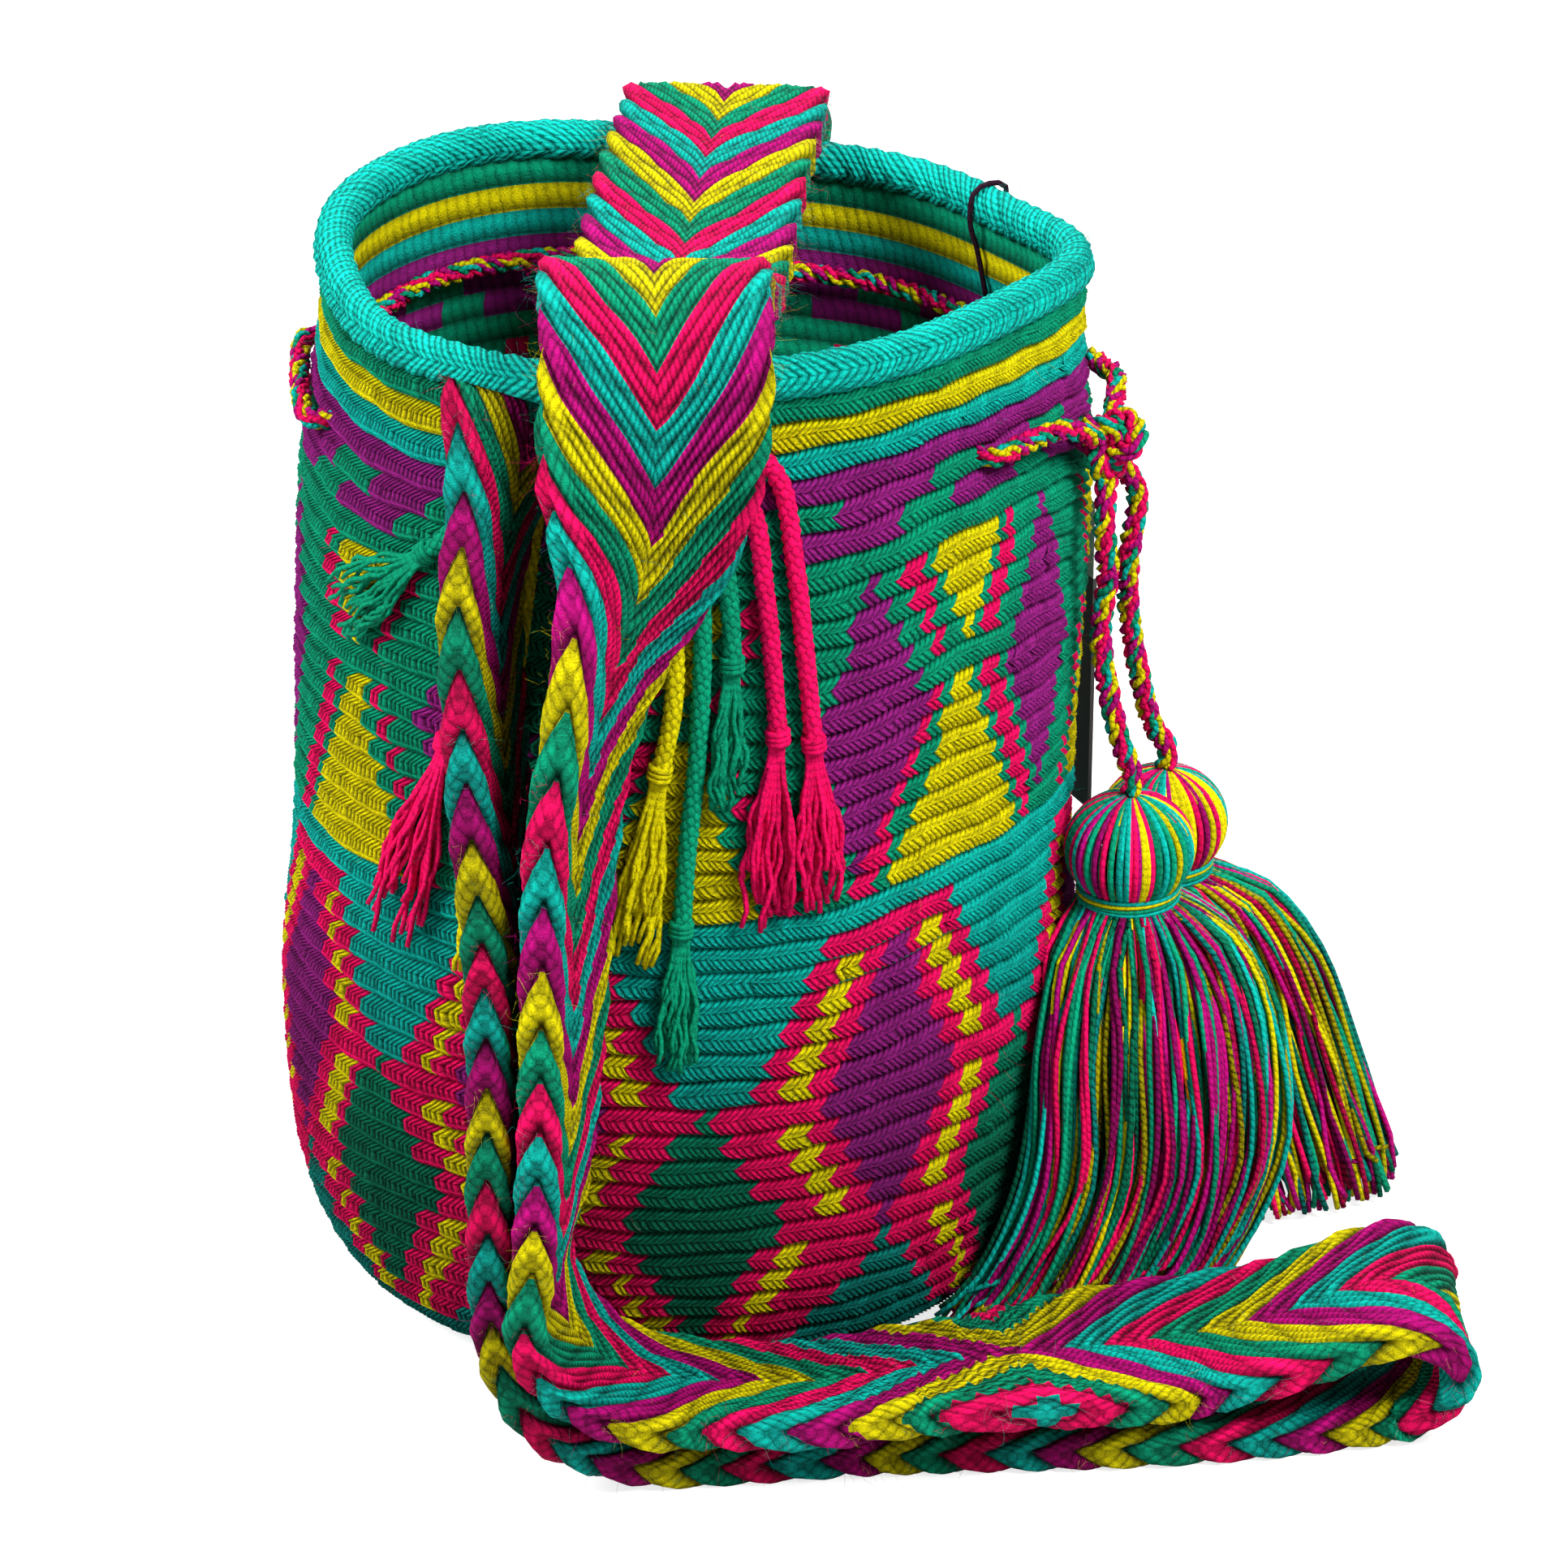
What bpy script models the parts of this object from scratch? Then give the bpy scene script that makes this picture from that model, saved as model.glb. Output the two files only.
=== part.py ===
"""Crocheted mochila bag with a woven shoulder strap, a drawstring and tassels.

Metres, +Z up. The origin is the centre of the base on the ground, and the front of the bag faces -Y.
"""

from math import acos, cos, pi, radians, sin

import bmesh
import bpy
from mathutils import Vector

# Clearance between pieces that touch
GAP = 0.0005

# Bag wall: height of the rim above the ground, thickness, and outer radius at each share of the height
BAG_HEIGHT = 0.300
WALL = 0.005
FOOT_RADIUS = 0.088
BULGE_RADIUS = 0.1125
WAIST_RADIUS = 0.109
RIM_RADIUS = 0.102
WALL_PROFILE = (
    (0.0, FOOT_RADIUS),
    (0.015, FOOT_RADIUS + 0.007),
    (0.05, FOOT_RADIUS + 0.0145),
    (0.13, BULGE_RADIUS - 0.003),
    (0.30, BULGE_RADIUS),
    (0.45, WAIST_RADIUS),
    (0.80, WAIST_RADIUS - 0.001),
    (0.92, RIM_RADIUS + 0.001),
    (1.0, RIM_RADIUS),
)
BASE_THICKNESS = 0.006
MOUTH_LEAN = 0.010
WALL_SIDES = 36

# Mouth of the bag: how far it stands off a circle every 30 degrees from +X, and its rise at two corners
RIM_OFFSETS = (0.001, -0.001, 0.002, -0.006, 0.007, 0.009, 0.0, -0.004, -0.006, -0.001, 0.0, -0.006)
RIM_SADDLE = 0.0045
SADDLE_AZIMUTH = 130
SOFT_FROM = 0.6

# Crochet rows, each a raised rib around the bag, and the rounded edging at the mouth
ROWS = 38
ROW_START = 0.015
RIB_HEIGHT = 0.0012
RIB_CREST = 0.4
EDGING_HEIGHT = 0.009
EDGING_BULGE = 0.0022

# Drawstring: a plaited cord that runs inside the wall and comes out through four eyelets
DRAWSTRING_RADIUS = 0.003
EYELET_RADIUS = 0.0056
EYELETS = (-43, -164, -196, -348)
EYELET_SLANT = 2.0
DRAWSTRING_LEVEL = 0.875
KNOT_RADIUS = 0.0095
TASSEL_CORD_RADIUS = 0.0032

# Shoulder strap, and the lay of its length from the back of the bag to its front
STRAP_WIDTH = 0.058
STRAP_THICKNESS = 0.009
STRAP_STEP = 0.018

# Tassels of the drawstring, and the small tassels on the cord ends of the strap
HEAD_RADIUS = 0.018
HEAD_FLATNESS = 0.9
NECK_RADIUS = 0.0135
TIE_RADIUS = 0.0015
TASSEL_SIDES = 20
FRINGE_RADIUS = 0.0022
FRINGE_SIDES = 10

# Swing tag on a thread over the rim
TAG_WIDTH = 0.042
TAG_HEIGHT = 0.095
TAG_THICKNESS = 0.0012
TAG_TOP = 0.215
TAG_AZIMUTH = 24
TAG_CLEARANCE = 0.006
THREAD_RADIUS = 0.0008
THREAD_CLEARANCE = 0.0009

TURQUOISE = (0.0, 0.42, 0.42)
GREEN = (0.0, 0.28, 0.14)
YELLOW = (0.68, 0.58, 0.0)
PINK = (0.85, 0.01, 0.14)
PURPLE = (0.22, 0.01, 0.24)
BLACK = (0.01, 0.01, 0.01)
CARD = (0.75, 0.75, 0.75)


# Curves and tables


def smooth_value(table, place):
    """Reads a smooth curve through (place, value) pairs in rising order."""
    if place <= table[0][0]:
        return table[0][1]
    for i in range(len(table) - 1):
        (start, low), (end, high) = table[i], table[i + 1]
        if place <= end:
            before = table[max(i - 1, 0)]
            after = table[min(i + 2, len(table) - 1)]
            span = end - start
            slope_in = (high - before[1]) / (end - before[0]) * span
            slope_out = (after[1] - low) / (after[0] - start) * span
            t = (place - start) / span
            rise = t * t * (3 - 2 * t)
            return low + (high - low) * rise + slope_in * t * (1 - t) ** 2 - slope_out * t * t * (1 - t)
    return table[-1][1]


def rim_offset(azimuth):
    """How far the mouth stands off its circle at this azimuth, in degrees."""
    step = 360 / len(RIM_OFFSETS)
    first = int(azimuth // step)
    table = [(i * step, RIM_OFFSETS[i % len(RIM_OFFSETS)]) for i in range(first - 1, first + 3)]
    return smooth_value(table, azimuth)


def wall_point(azimuth, level, stand_off=0.0):
    """A point on the outer wall, by azimuth in degrees and share of the height, moved outwards by stand_off."""
    softness = max(0.0, min(1.0, (level - SOFT_FROM) / (1 - SOFT_FROM)))
    softness = softness * softness * (3 - 2 * softness)
    radius = smooth_value(WALL_PROFILE, level) + softness * rim_offset(azimuth) + stand_off
    saddle = RIM_SADDLE * softness * cos(2 * radians(azimuth - SADDLE_AZIMUTH))
    centre_x = MOUTH_LEAN * level**1.5
    return Vector(
        (
            centre_x + radius * cos(radians(azimuth)),
            radius * sin(radians(azimuth)),
            level * BAG_HEIGHT + saddle,
        )
    )


def smooth_path(points, step):
    """Points about a step apart along a smooth curve through the given vectors, ends included."""
    samples = []
    for i in range(len(points) - 1):
        before = points[max(i - 1, 0)]
        start, end = points[i], points[i + 1]
        after = points[min(i + 2, len(points) - 1)]
        pieces = max(1, round((end - start).length / step))
        for k in range(pieces):
            t = k / pieces
            samples.append(
                0.5
                * (
                    2 * start
                    + (end - before) * t
                    + (2 * before - 5 * start + 4 * end - after) * t**2
                    + (3 * start - before - 3 * end + after) * t**3
                )
            )
    samples.append(points[-1])
    return samples


# Solids


def yarn(name, colour, roughness=0.85):
    material = bpy.data.materials.new(name)
    material.use_nodes = True
    surface = material.node_tree.nodes["Principled BSDF"]
    surface.inputs["Base Color"].default_value = (*colour, 1)
    surface.inputs["Roughness"].default_value = roughness
    surface.inputs["Metallic"].default_value = 0.0
    return material


def add_object(name, data, colour, roughness=0.85):
    piece = bpy.data.objects.new(name, data)
    data.materials.append(yarn(name + "_material", colour, roughness))
    bpy.context.collection.objects.link(piece)
    return piece


def skin(name, rings, colour, roughness=0.85):
    """A closed solid over rings of points, with a flat face at each end."""
    mesh = bmesh.new()
    loops = [[mesh.verts.new(point) for point in ring] for ring in rings]
    sides = len(rings[0])
    for low, high in zip(loops, loops[1:]):
        for k in range(sides):
            mesh.faces.new((low[k], low[(k + 1) % sides], high[(k + 1) % sides], high[k]))
    mesh.faces.new(reversed(loops[0]))
    mesh.faces.new(loops[-1])
    bmesh.ops.recalc_face_normals(mesh, faces=mesh.faces)
    data = bpy.data.meshes.new(name)
    mesh.to_mesh(data)
    mesh.free()
    data.shade_smooth()
    data.set_sharp_from_angle(angle=radians(50))
    return add_object(name, data, colour, roughness)


def cord(name, points, radius, colour, step=None):
    """A round cord along a smooth curve through the points of its route."""
    path = smooth_path(points, step or 5 * radius)
    data = bpy.data.curves.new(name, "CURVE")
    data.dimensions = "3D"
    data.bevel_depth = radius
    data.bevel_resolution = 2
    data.use_fill_caps = True
    spline = data.splines.new("POLY")
    spline.points.add(len(path) - 1)
    for target, point in zip(spline.points, path):
        target.co = (*point, 1)
    return add_object(name, data, colour)


# Bag


def wall_ring(level, stand_off, rise=0.0):
    step = 360 / WALL_SIDES
    lift = Vector((0, 0, rise))
    return [wall_point(k * step - 180, level, stand_off) + lift for k in range(WALL_SIDES)]


def bag_rings():
    """Rings from the middle of the base, up the ribbed outside, over the edging and down the inside."""
    edging_level = 1 - EDGING_HEIGHT / BAG_HEIGHT
    pitch = (edging_level - ROW_START) / ROWS
    rings = [wall_ring(0, 0)]
    for row in range(ROWS):
        rings.append(wall_ring(ROW_START + row * pitch, -RIB_HEIGHT / 2))
        rings.append(wall_ring(ROW_START + (row + RIB_CREST) * pitch, RIB_HEIGHT / 2))
    rings.append(wall_ring(edging_level, -RIB_HEIGHT / 2))
    rings.append(wall_ring(edging_level, EDGING_BULGE * 0.7, EDGING_HEIGHT * 0.15))
    rings.append(wall_ring(edging_level, EDGING_BULGE, EDGING_HEIGHT * 0.5))
    rings.append(wall_ring(edging_level, EDGING_BULGE * 0.5, EDGING_HEIGHT * 0.9))
    rings.append(wall_ring(edging_level, -WALL * 0.5, EDGING_HEIGHT))
    rings.append(wall_ring(edging_level, -WALL - EDGING_BULGE * 0.5, EDGING_HEIGHT * 0.85))
    rings.append(wall_ring(edging_level, -WALL - EDGING_BULGE, EDGING_HEIGHT * 0.4))
    rings.append(wall_ring(edging_level, -WALL))
    for level in (0.9, 0.8, 0.65, 0.5, 0.35, 0.2, 0.1, 0.045):
        rings.append(wall_ring(level, -WALL))
    rings.append(wall_ring(0, -WALL, BASE_THICKNESS))
    return rings


def cut_eyelet(bag, azimuth):
    """Bores one drawstring eyelet through the wall."""
    middle = wall_point(azimuth, DRAWSTRING_LEVEL, -WALL / 2)
    bpy.ops.mesh.primitive_cylinder_add(
        vertices=12,
        radius=EYELET_RADIUS,
        depth=6 * WALL,
        location=middle,
        rotation=(0, pi / 2, radians(azimuth)),
    )
    cutter = bpy.context.object
    cutter.name = "eyelet_cutter"
    cutter.hide_render = True
    cutter.display_type = "WIRE"
    cut = bag.modifiers.new("eyelet", "BOOLEAN")
    cut.object = cutter
    cut.operation = "DIFFERENCE"


def make_bag():
    bag = skin("bag_body", bag_rings(), TURQUOISE, 0.9)
    for azimuth in EYELETS:
        cut_eyelet(bag, azimuth)


# Strap: place of each station, direction to the right-hand edge, width share, curl of the edges


def over_mouth(x, share, rise):
    """A place above the mouth, by share of the way from its middle to the rim at +Y."""
    return (x, share * RIM_RADIUS, BAG_HEIGHT + rise)


def on_ground(x, clear, layer):
    """A place in front of the foot of the bag, as high as this many thicknesses of the strap."""
    return (x, -FOOT_RADIUS - clear, layer * STRAP_THICKNESS)


BACK_STATIONS = (
    (wall_point(84.8, 0.773, 0.0074), (1, -0.04, 0), 1.0, -0.19),
    (wall_point(85.4, 0.873, 0.0085), (1, -0.10, 0), 1.0, -0.09),
    (wall_point(86.5, 0.959, 0.0114), (1, -0.10, 0), 1.0, -0.05),
    (over_mouth(0.015, 0.995, 0.0082), (1, -0.08, 0), 1.0, -0.06),
    (over_mouth(0.014, 0.812, 0.0090), (1, -0.05, 0), 1.0, -0.05),
    (over_mouth(0.009, 0.396, 0.0055), (1, -0.07, 0), 1.0, 0.0),
    (over_mouth(0.004, -0.150, -0.0015), (1, -0.07, 0), 1.0, 0.0),
    (over_mouth(0.001, -0.550, 0.0040), (1, -0.07, 0), 1.0, 0.0),
    (over_mouth(-0.001, -0.860, 0.0205), (1, -0.05, 0), 1.0, 0.0),
    (over_mouth(-0.001, -1.069, 0.0265), (1, 0, 0), 1.0, 0.0),
    (over_mouth(0.000, -1.238, 0.0150), (1, 0, 0), 1.0, 0.05),
)
HANG_STATIONS = (
    (wall_point(-94.7, 0.977, 0.0309), (0.97, 0.20, 0), 1.0, 0.1),
    (wall_point(-95.5, 0.884, 0.0330), (0.74, 0.67, 0), 1.0, 0.2),
    (wall_point(-99.0, 0.784, 0.0355), (0.42, 0.90, 0), 1.0, 0.3),
    (wall_point(-101.6, 0.667, 0.0375), (0.29, 0.96, 0), 1.0, 0.3),
    (wall_point(-102.0, 0.533, 0.0390), (0.23, 0.97, 0), 1.0, 0.25),
    (wall_point(-101.8, 0.400, 0.0385), (0.19, 0.98, 0), 1.0, 0.15),
    (wall_point(-102.5, 0.267, 0.0365), (0.15, 0.99, 0), 1.0, 0.1),
)
GROUND_STATIONS = (
    (on_ground(-0.0330, 0.0545, 6.4), (0.10, 1, 0), 1.0, 0.0),
    (on_ground(-0.0265, 0.0510, 4.4), (0.05, 1, 0), 0.98, 0.0),
    (on_ground(-0.0120, 0.0480, 2.9), (0, 1, -0.05), 0.92, 0.0),
    (on_ground(0.0080, 0.0435, 2.15), (0, 1, -0.10), 0.87, 0.0),
    (on_ground(0.0380, 0.0430, 2.05), (0, 1, -0.12), 0.90, 0.0),
    (on_ground(0.0660, 0.0405, 2.4), (0, 1, -0.10), 0.92, 0.0),
    (on_ground(0.0930, 0.0390, 2.75), (0, 1, -0.08), 0.96, -0.1),
    (on_ground(0.1360, 0.0240, 2.4), (0, 1, 0.04), 1.0, 0.0),
    (on_ground(0.1660, 0.0230, 3.1), (0, 1, 0), 1.0, 0.0),
    (on_ground(0.1920, 0.0220, 4.2), (0, 1, 0), 1.0, 0.0),
    (on_ground(0.2065, 0.0190, 3.9), (0, 1, 0), 1.0, 0.0),
    (on_ground(0.2125, 0.0150, 2.6), (0, 1, 0), 1.0, 0.0),
    (on_ground(0.2065, 0.0125, 1.2), (0, 1, 0), 1.0, 0.0),
    (on_ground(0.1900, 0.0120, 0.56), (0, 1, 0), 1.0, 0.0),
    (on_ground(0.1350, 0.0215, 0.54), (0, 1, 0), 1.0, 0.0),
    (on_ground(0.0600, 0.0275, 0.54), (0, 1, 0), 0.95, 0.0),
    (on_ground(0.0300, 0.0330, 0.54), (0, 1, 0), 0.88, 0.0),
    (on_ground(0.0000, 0.0370, 0.60), (0, 1, 0), 0.86, 0.0),
    (on_ground(-0.0200, 0.0405, 1.45), (0, 1, 0), 0.92, 0.0),
    (on_ground(-0.0345, 0.0445, 2.9), (0, 1, 0), 0.97, 0.0),
)
RETURN_STATIONS = (
    (wall_point(-107.6, 0.173, 0.0325), (0.05, 1, 0), 1.0, 0.0),
    (wall_point(-107.8, 0.300, 0.0345), (0.07, 1, 0), 1.0, 0.0),
    (wall_point(-107.8, 0.433, 0.0375), (0.09, 1, 0), 1.0, 0.0),
    (wall_point(-108.4, 0.567, 0.0375), (0.11, 0.99, 0), 1.0, 0.0),
    (wall_point(-110.2, 0.701, 0.0370), (0.13, 0.99, 0), 1.0, 0.0),
    (wall_point(-112.0, 0.838, 0.0355), (0.18, 0.98, 0), 0.95, 0.05),
    (wall_point(-112.0, 0.930, 0.0320), (0.36, 0.93, 0), 0.88, 0.1),
    (wall_point(-111.0, 1.000, 0.0235), (0.82, 0.57, 0), 0.80, 0.15),
)
STRAP_STATIONS = BACK_STATIONS + HANG_STATIONS + GROUND_STATIONS + RETURN_STATIONS

# Strap cross-section: share of the half width, share of the half thickness
STRAP_SECTION = (
    (-1, -0.45),
    (-0.93, -1),
    (0, -1),
    (0.93, -1),
    (1, -0.45),
    (1, 0.45),
    (0.93, 1),
    (0, 1),
    (-0.93, 1),
    (-1, 0.45),
)


def strap_ring(centre, travel, right, width, curl):
    """One cross-section, flat across right and curled towards the face side by curl radians at its edges."""
    right = (right - travel * right.dot(travel)).normalized()
    face = -right.cross(travel)
    ring = []
    for across, depth in STRAP_SECTION:
        half = width * STRAP_WIDTH / 2 * across
        turn = curl * across
        bend = abs(turn) > 1e-4
        along = half * (sin(turn) / turn if bend else 1)
        lift = half * ((1 - cos(turn)) / turn if bend else 0)
        outward = face * cos(turn) - right * sin(turn)
        ring.append(centre + right * along + face * lift + outward * depth * STRAP_THICKNESS / 2)
    return ring


def make_strap():
    centres = [Vector(place) for place, right, width, curl in STRAP_STATIONS]
    rings = []
    for i in range(len(centres) - 1):
        pieces = max(1, round((centres[i + 1] - centres[i]).length / STRAP_STEP))
        last = i == len(centres) - 2
        for k in range(pieces + last):
            rings.append(strap_station(i, k / pieces))
    skin("shoulder_strap", rings, PINK, 0.85)


def strap_station(i, t):
    """The cross-section between stations i and i + 1, at share t of the way."""
    stations = [STRAP_STATIONS[min(max(k, 0), len(STRAP_STATIONS) - 1)] for k in range(i - 1, i + 3)]
    a, b, c, d = (Vector((*place, *right, width, curl)) for place, right, width, curl in stations)
    values = 0.5 * (2 * b + (c - a) * t + (2 * a - 5 * b + 4 * c - d) * t**2 + (3 * b - a - 3 * c + d) * t**3)
    slope = 0.5 * ((c - a) + 2 * (2 * a - 5 * b + 4 * c - d) * t + 3 * (3 * b - a - 3 * c + d) * t**2)
    travel = Vector(slope[:3]).normalized()
    return strap_ring(Vector(values[:3]), travel, Vector(values[3:6]), values[6], values[7])


# Drawstring, its knot and the cords of the tassels


INSIDE = -WALL - DRAWSTRING_RADIUS - 0.0014
OUTSIDE = DRAWSTRING_RADIUS + 0.0014
IN_WALL = -WALL / 2

# Knot, and the routes of the two hanging cords as distances from it
KNOT = wall_point(-15.5, 0.846, KNOT_RADIUS + 0.0012)
FRONT_TAIL = (
    (-0.0010, -0.0060, -0.0220),
    (0.0005, -0.0030, -0.0380),
    (-0.0010, -0.0020, -0.0540),
    (0.0015, -0.0020, -0.0720),
    (0.0050, -0.0020, -0.0870),
)
BACK_TAIL = (
    (0.0090, 0.0110, -0.0200),
    (0.0070, 0.0120, -0.0380),
    (0.0080, 0.0190, -0.0580),
    (0.0120, 0.0250, -0.0800),
    (0.0160, 0.0300, -0.0960),
)
FRONT_HEAD = wall_point(-14.5, 0.45, HEAD_RADIUS + 0.0015)
BACK_HEAD = FRONT_HEAD + Vector((0.0120, 0.0350, -0.0080))


def meet(centre, radius, towards):
    """The point just off a ball, on the way to another point."""
    return centre + (towards - centre).normalized() * (radius + GAP)


def drawstring_stops():
    """Azimuth and distance from the outer wall, from the knot around the bag and back to the knot."""
    near_front, left_front, left_back, near_back = EYELETS
    stops = [(near_front + 17, 0.0085), (near_front + 9, OUTSIDE)]
    stops += through_eyelet(near_front, OUTSIDE, INSIDE)
    stops += along_inside(near_front, left_front)
    stops += through_eyelet(left_front, INSIDE, OUTSIDE)
    stops += [((left_front + left_back) / 2 + 7, OUTSIDE), ((left_front + left_back) / 2 - 7, OUTSIDE)]
    stops += through_eyelet(left_back, OUTSIDE, INSIDE)
    stops += along_inside(left_back, near_back)
    stops += through_eyelet(near_back, INSIDE, OUTSIDE)
    stops += [(near_back - 7, 0.0055), (near_back - 12, 0.0085)]
    return stops


def through_eyelet(azimuth, start, end):
    return [(azimuth + EYELET_SLANT, start), (azimuth, IN_WALL), (azimuth - EYELET_SLANT, end)]


def along_inside(start, end):
    """Stops about 20 degrees apart on the inside, clear of the eyelet at each end."""
    start, end = start - 8, end + 8
    count = max(1, round((start - end) / 20))
    return [(start + (end - start) * k / count, INSIDE) for k in range(count + 1)]


def make_drawstring():
    route = [wall_point(azimuth, DRAWSTRING_LEVEL, stand_off) for azimuth, stand_off in drawstring_stops()]
    route.insert(0, meet(KNOT, KNOT_RADIUS, route[0]))
    route.append(meet(KNOT, KNOT_RADIUS, route[-1]))
    cord("drawstring", route, DRAWSTRING_RADIUS, YELLOW, 4 * DRAWSTRING_RADIUS)

    bpy.ops.mesh.primitive_uv_sphere_add(segments=14, ring_count=8, radius=KNOT_RADIUS, location=KNOT)
    ball = bpy.context.object
    ball.name = "drawstring_knot"
    ball.data.materials.append(yarn("drawstring_knot_material", PINK))
    ball.data.shade_smooth()

    for name, tail, head in (
        ("tassel_cord_front", FRONT_TAIL, FRONT_HEAD),
        ("tassel_cord_back", BACK_TAIL, BACK_HEAD),
    ):
        points = [KNOT + Vector(point) for point in tail]
        points.insert(0, meet(KNOT, KNOT_RADIUS, points[0]))
        top = head + Vector((0, 0, HEAD_RADIUS * HEAD_FLATNESS + GAP))
        points += [top + Vector((0, 0, 2 * TASSEL_CORD_RADIUS)), top]
        cord(name, points, TASSEL_CORD_RADIUS, YELLOW)


# Skirts of the tassels: share of the height of the neck, place from the head, half length, half depth


FRONT_SKIRT = (
    (0.90, 0.0045, -0.0070, 0.0275, 0.0150),
    (0.72, 0.0080, -0.0165, 0.0370, 0.0160),
    (0.42, 0.0090, -0.0225, 0.0405, 0.0165),
    (0.17, -0.0010, -0.0235, 0.0430, 0.0165),
    (0.01, -0.0120, -0.0240, 0.0440, 0.0165),
)
BACK_SKIRT = (
    (0.90, 0.0060, 0.0030, 0.0260, 0.0150),
    (0.70, 0.0150, 0.0070, 0.0330, 0.0170),
    (0.41, 0.0240, 0.0090, 0.0370, 0.0180),
    (0.14, 0.0320, 0.0090, 0.0390, 0.0180),
    (0.01, 0.0350, 0.0090, 0.0400, 0.0170),
)
FRONT_SKIRT_TURN = 26
BACK_SKIRT_TURN = 14


def oval(centre, half_length, half_depth, turn, sides=TASSEL_SIDES):
    """A level oval ring of points, its long axis turned from +X."""
    ring = []
    for k in range(sides):
        angle = 2 * pi * k / sides
        along = Vector((cos(turn), sin(turn), 0)) * half_length * cos(angle - turn)
        across = Vector((-sin(turn), cos(turn), 0)) * half_depth * sin(angle - turn)
        ring.append(centre + along + across)
    return ring


def make_tassel(name, head, skirt, turn, colour):
    """Strands folded over the cord: a round head, a tied neck and a spreading skirt, in one solid."""
    neck_tilt = -acos(NECK_RADIUS / HEAD_RADIUS)
    rings = []
    for tilt in (1.4, 1.08, 0.7, 0.3, -0.1, -0.45, neck_tilt):
        radius = HEAD_RADIUS * cos(tilt)
        rise = HEAD_RADIUS * HEAD_FLATNESS * sin(tilt)
        rings.append(oval(head + Vector((0, 0, rise)), radius, radius, 0))
    neck = head + Vector((0, 0, HEAD_RADIUS * HEAD_FLATNESS * sin(neck_tilt)))
    neck_end = neck - Vector((0, 0, 2.6 * TIE_RADIUS))
    rings.append(oval(neck_end, NECK_RADIUS, NECK_RADIUS, 0))
    for share, x, y, half_length, half_depth in skirt:
        centre = Vector((head.x + x, head.y + y, neck_end.z * share))
        rings.append(oval(centre, half_length, half_depth, radians(turn)))
    skin(name, rings, colour)
    return (neck + neck_end) / 2


def make_tie(name, centre, colour):
    """Yarn wound around the neck of a tassel."""
    bpy.ops.mesh.primitive_torus_add(
        location=centre,
        major_radius=NECK_RADIUS + TIE_RADIUS + GAP,
        minor_radius=TIE_RADIUS,
        major_segments=TASSEL_SIDES,
        minor_segments=8,
    )
    tie = bpy.context.object
    tie.name = name
    tie.data.materials.append(yarn(name + "_material", colour))
    tie.data.shade_smooth()


def make_tassels():
    neck = make_tassel("tassel_front", FRONT_HEAD, FRONT_SKIRT, FRONT_SKIRT_TURN, GREEN)
    make_tie("tassel_tie_front", neck, TURQUOISE)
    neck = make_tassel("tassel_back", BACK_HEAD, BACK_SKIRT, BACK_SKIRT_TURN, PURPLE)
    make_tie("tassel_tie_back", neck, GREEN)


# Cord ends of the strap: route on the wall, then the tip of the small tassel and its half width


PINK_OUTER_ROUTE = ((-96, 0.950), (-86, 0.945), (-78.5, 0.905), (-76, 0.83), (-74, 0.74), (-72.5, 0.67))
PINK_INNER_ROUTE = ((-96, 0.923), (-88, 0.916), (-82, 0.88), (-80, 0.81), (-78.5, 0.74), (-77.5, 0.68))
GREEN_SHORT_ROUTE = ((-97, 0.898), (-90, 0.888), (-86, 0.85), (-84.5, 0.79), (-84, 0.75))
GREEN_LONG_ROUTE = (
    (-98, 0.872),
    (-92, 0.860),
    (-88.8, 0.82),
    (-88.0, 0.75),
    (-88.2, 0.66),
    (-89, 0.58),
    (-89.5, 0.50),
)
YELLOW_ROUTE = ((-99, 0.845), (-95, 0.825), (-92, 0.78), (-91.6, 0.71), (-93, 0.65))
PINK_LEFT_ROUTE = ((-118, 0.90), (-119, 0.84), (-120.5, 0.76), (-122.5, 0.69), (-124, 0.65))
GREEN_LEFT_ROUTE = ((-124, 0.90), (-125.2, 0.865), (-127, 0.840), (-130, 0.822))
YELLOW_LEFT_ROUTE = ((-113, 0.90), (-113, 0.82), (-114, 0.72), (-116, 0.62), (-117, 0.56))
PINK_BACK_ROUTE = ((71, 0.755), (71, 0.70), (70.5, 0.66))
GREEN_BACK_ROUTE = ((82, 0.755), (82.5, 0.70), (82, 0.64))
YELLOW_BACK_ROUTE = ((93, 0.755), (93, 0.71), (94, 0.67))
FRINGES = (
    ("pink_outer", PINK, PINK_OUTER_ROUTE, (-70.5, 0.51), 0.0062),
    ("pink_inner", PINK, PINK_INNER_ROUTE, (-78.5, 0.50), 0.0070),
    ("green_short", GREEN, GREEN_SHORT_ROUTE, (-84, 0.62), 0.0042),
    ("green_long", GREEN, GREEN_LONG_ROUTE, (-90, 0.37), 0.0050),
    ("yellow", YELLOW, YELLOW_ROUTE, (-96, 0.47), 0.0055),
    ("pink_left", PINK, PINK_LEFT_ROUTE, (-133, 0.45), 0.0105),
    ("green_left", GREEN, GREEN_LEFT_ROUTE, (-146, 0.735), 0.0095),
    ("yellow_left", YELLOW, YELLOW_LEFT_ROUTE, (-118, 0.43), 0.0065),
    ("pink_back", PINK, PINK_BACK_ROUTE, (70, 0.52), 0.0080),
    ("green_back", GREEN, GREEN_BACK_ROUTE, (82, 0.50), 0.0080),
    ("yellow_back", YELLOW, YELLOW_BACK_ROUTE, (95, 0.53), 0.0080),
)
FRINGE_CLEARANCE = 0.0011
FRINGE_DEPTH = 0.0035
FRINGE_JOINT = 0.0008


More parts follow.
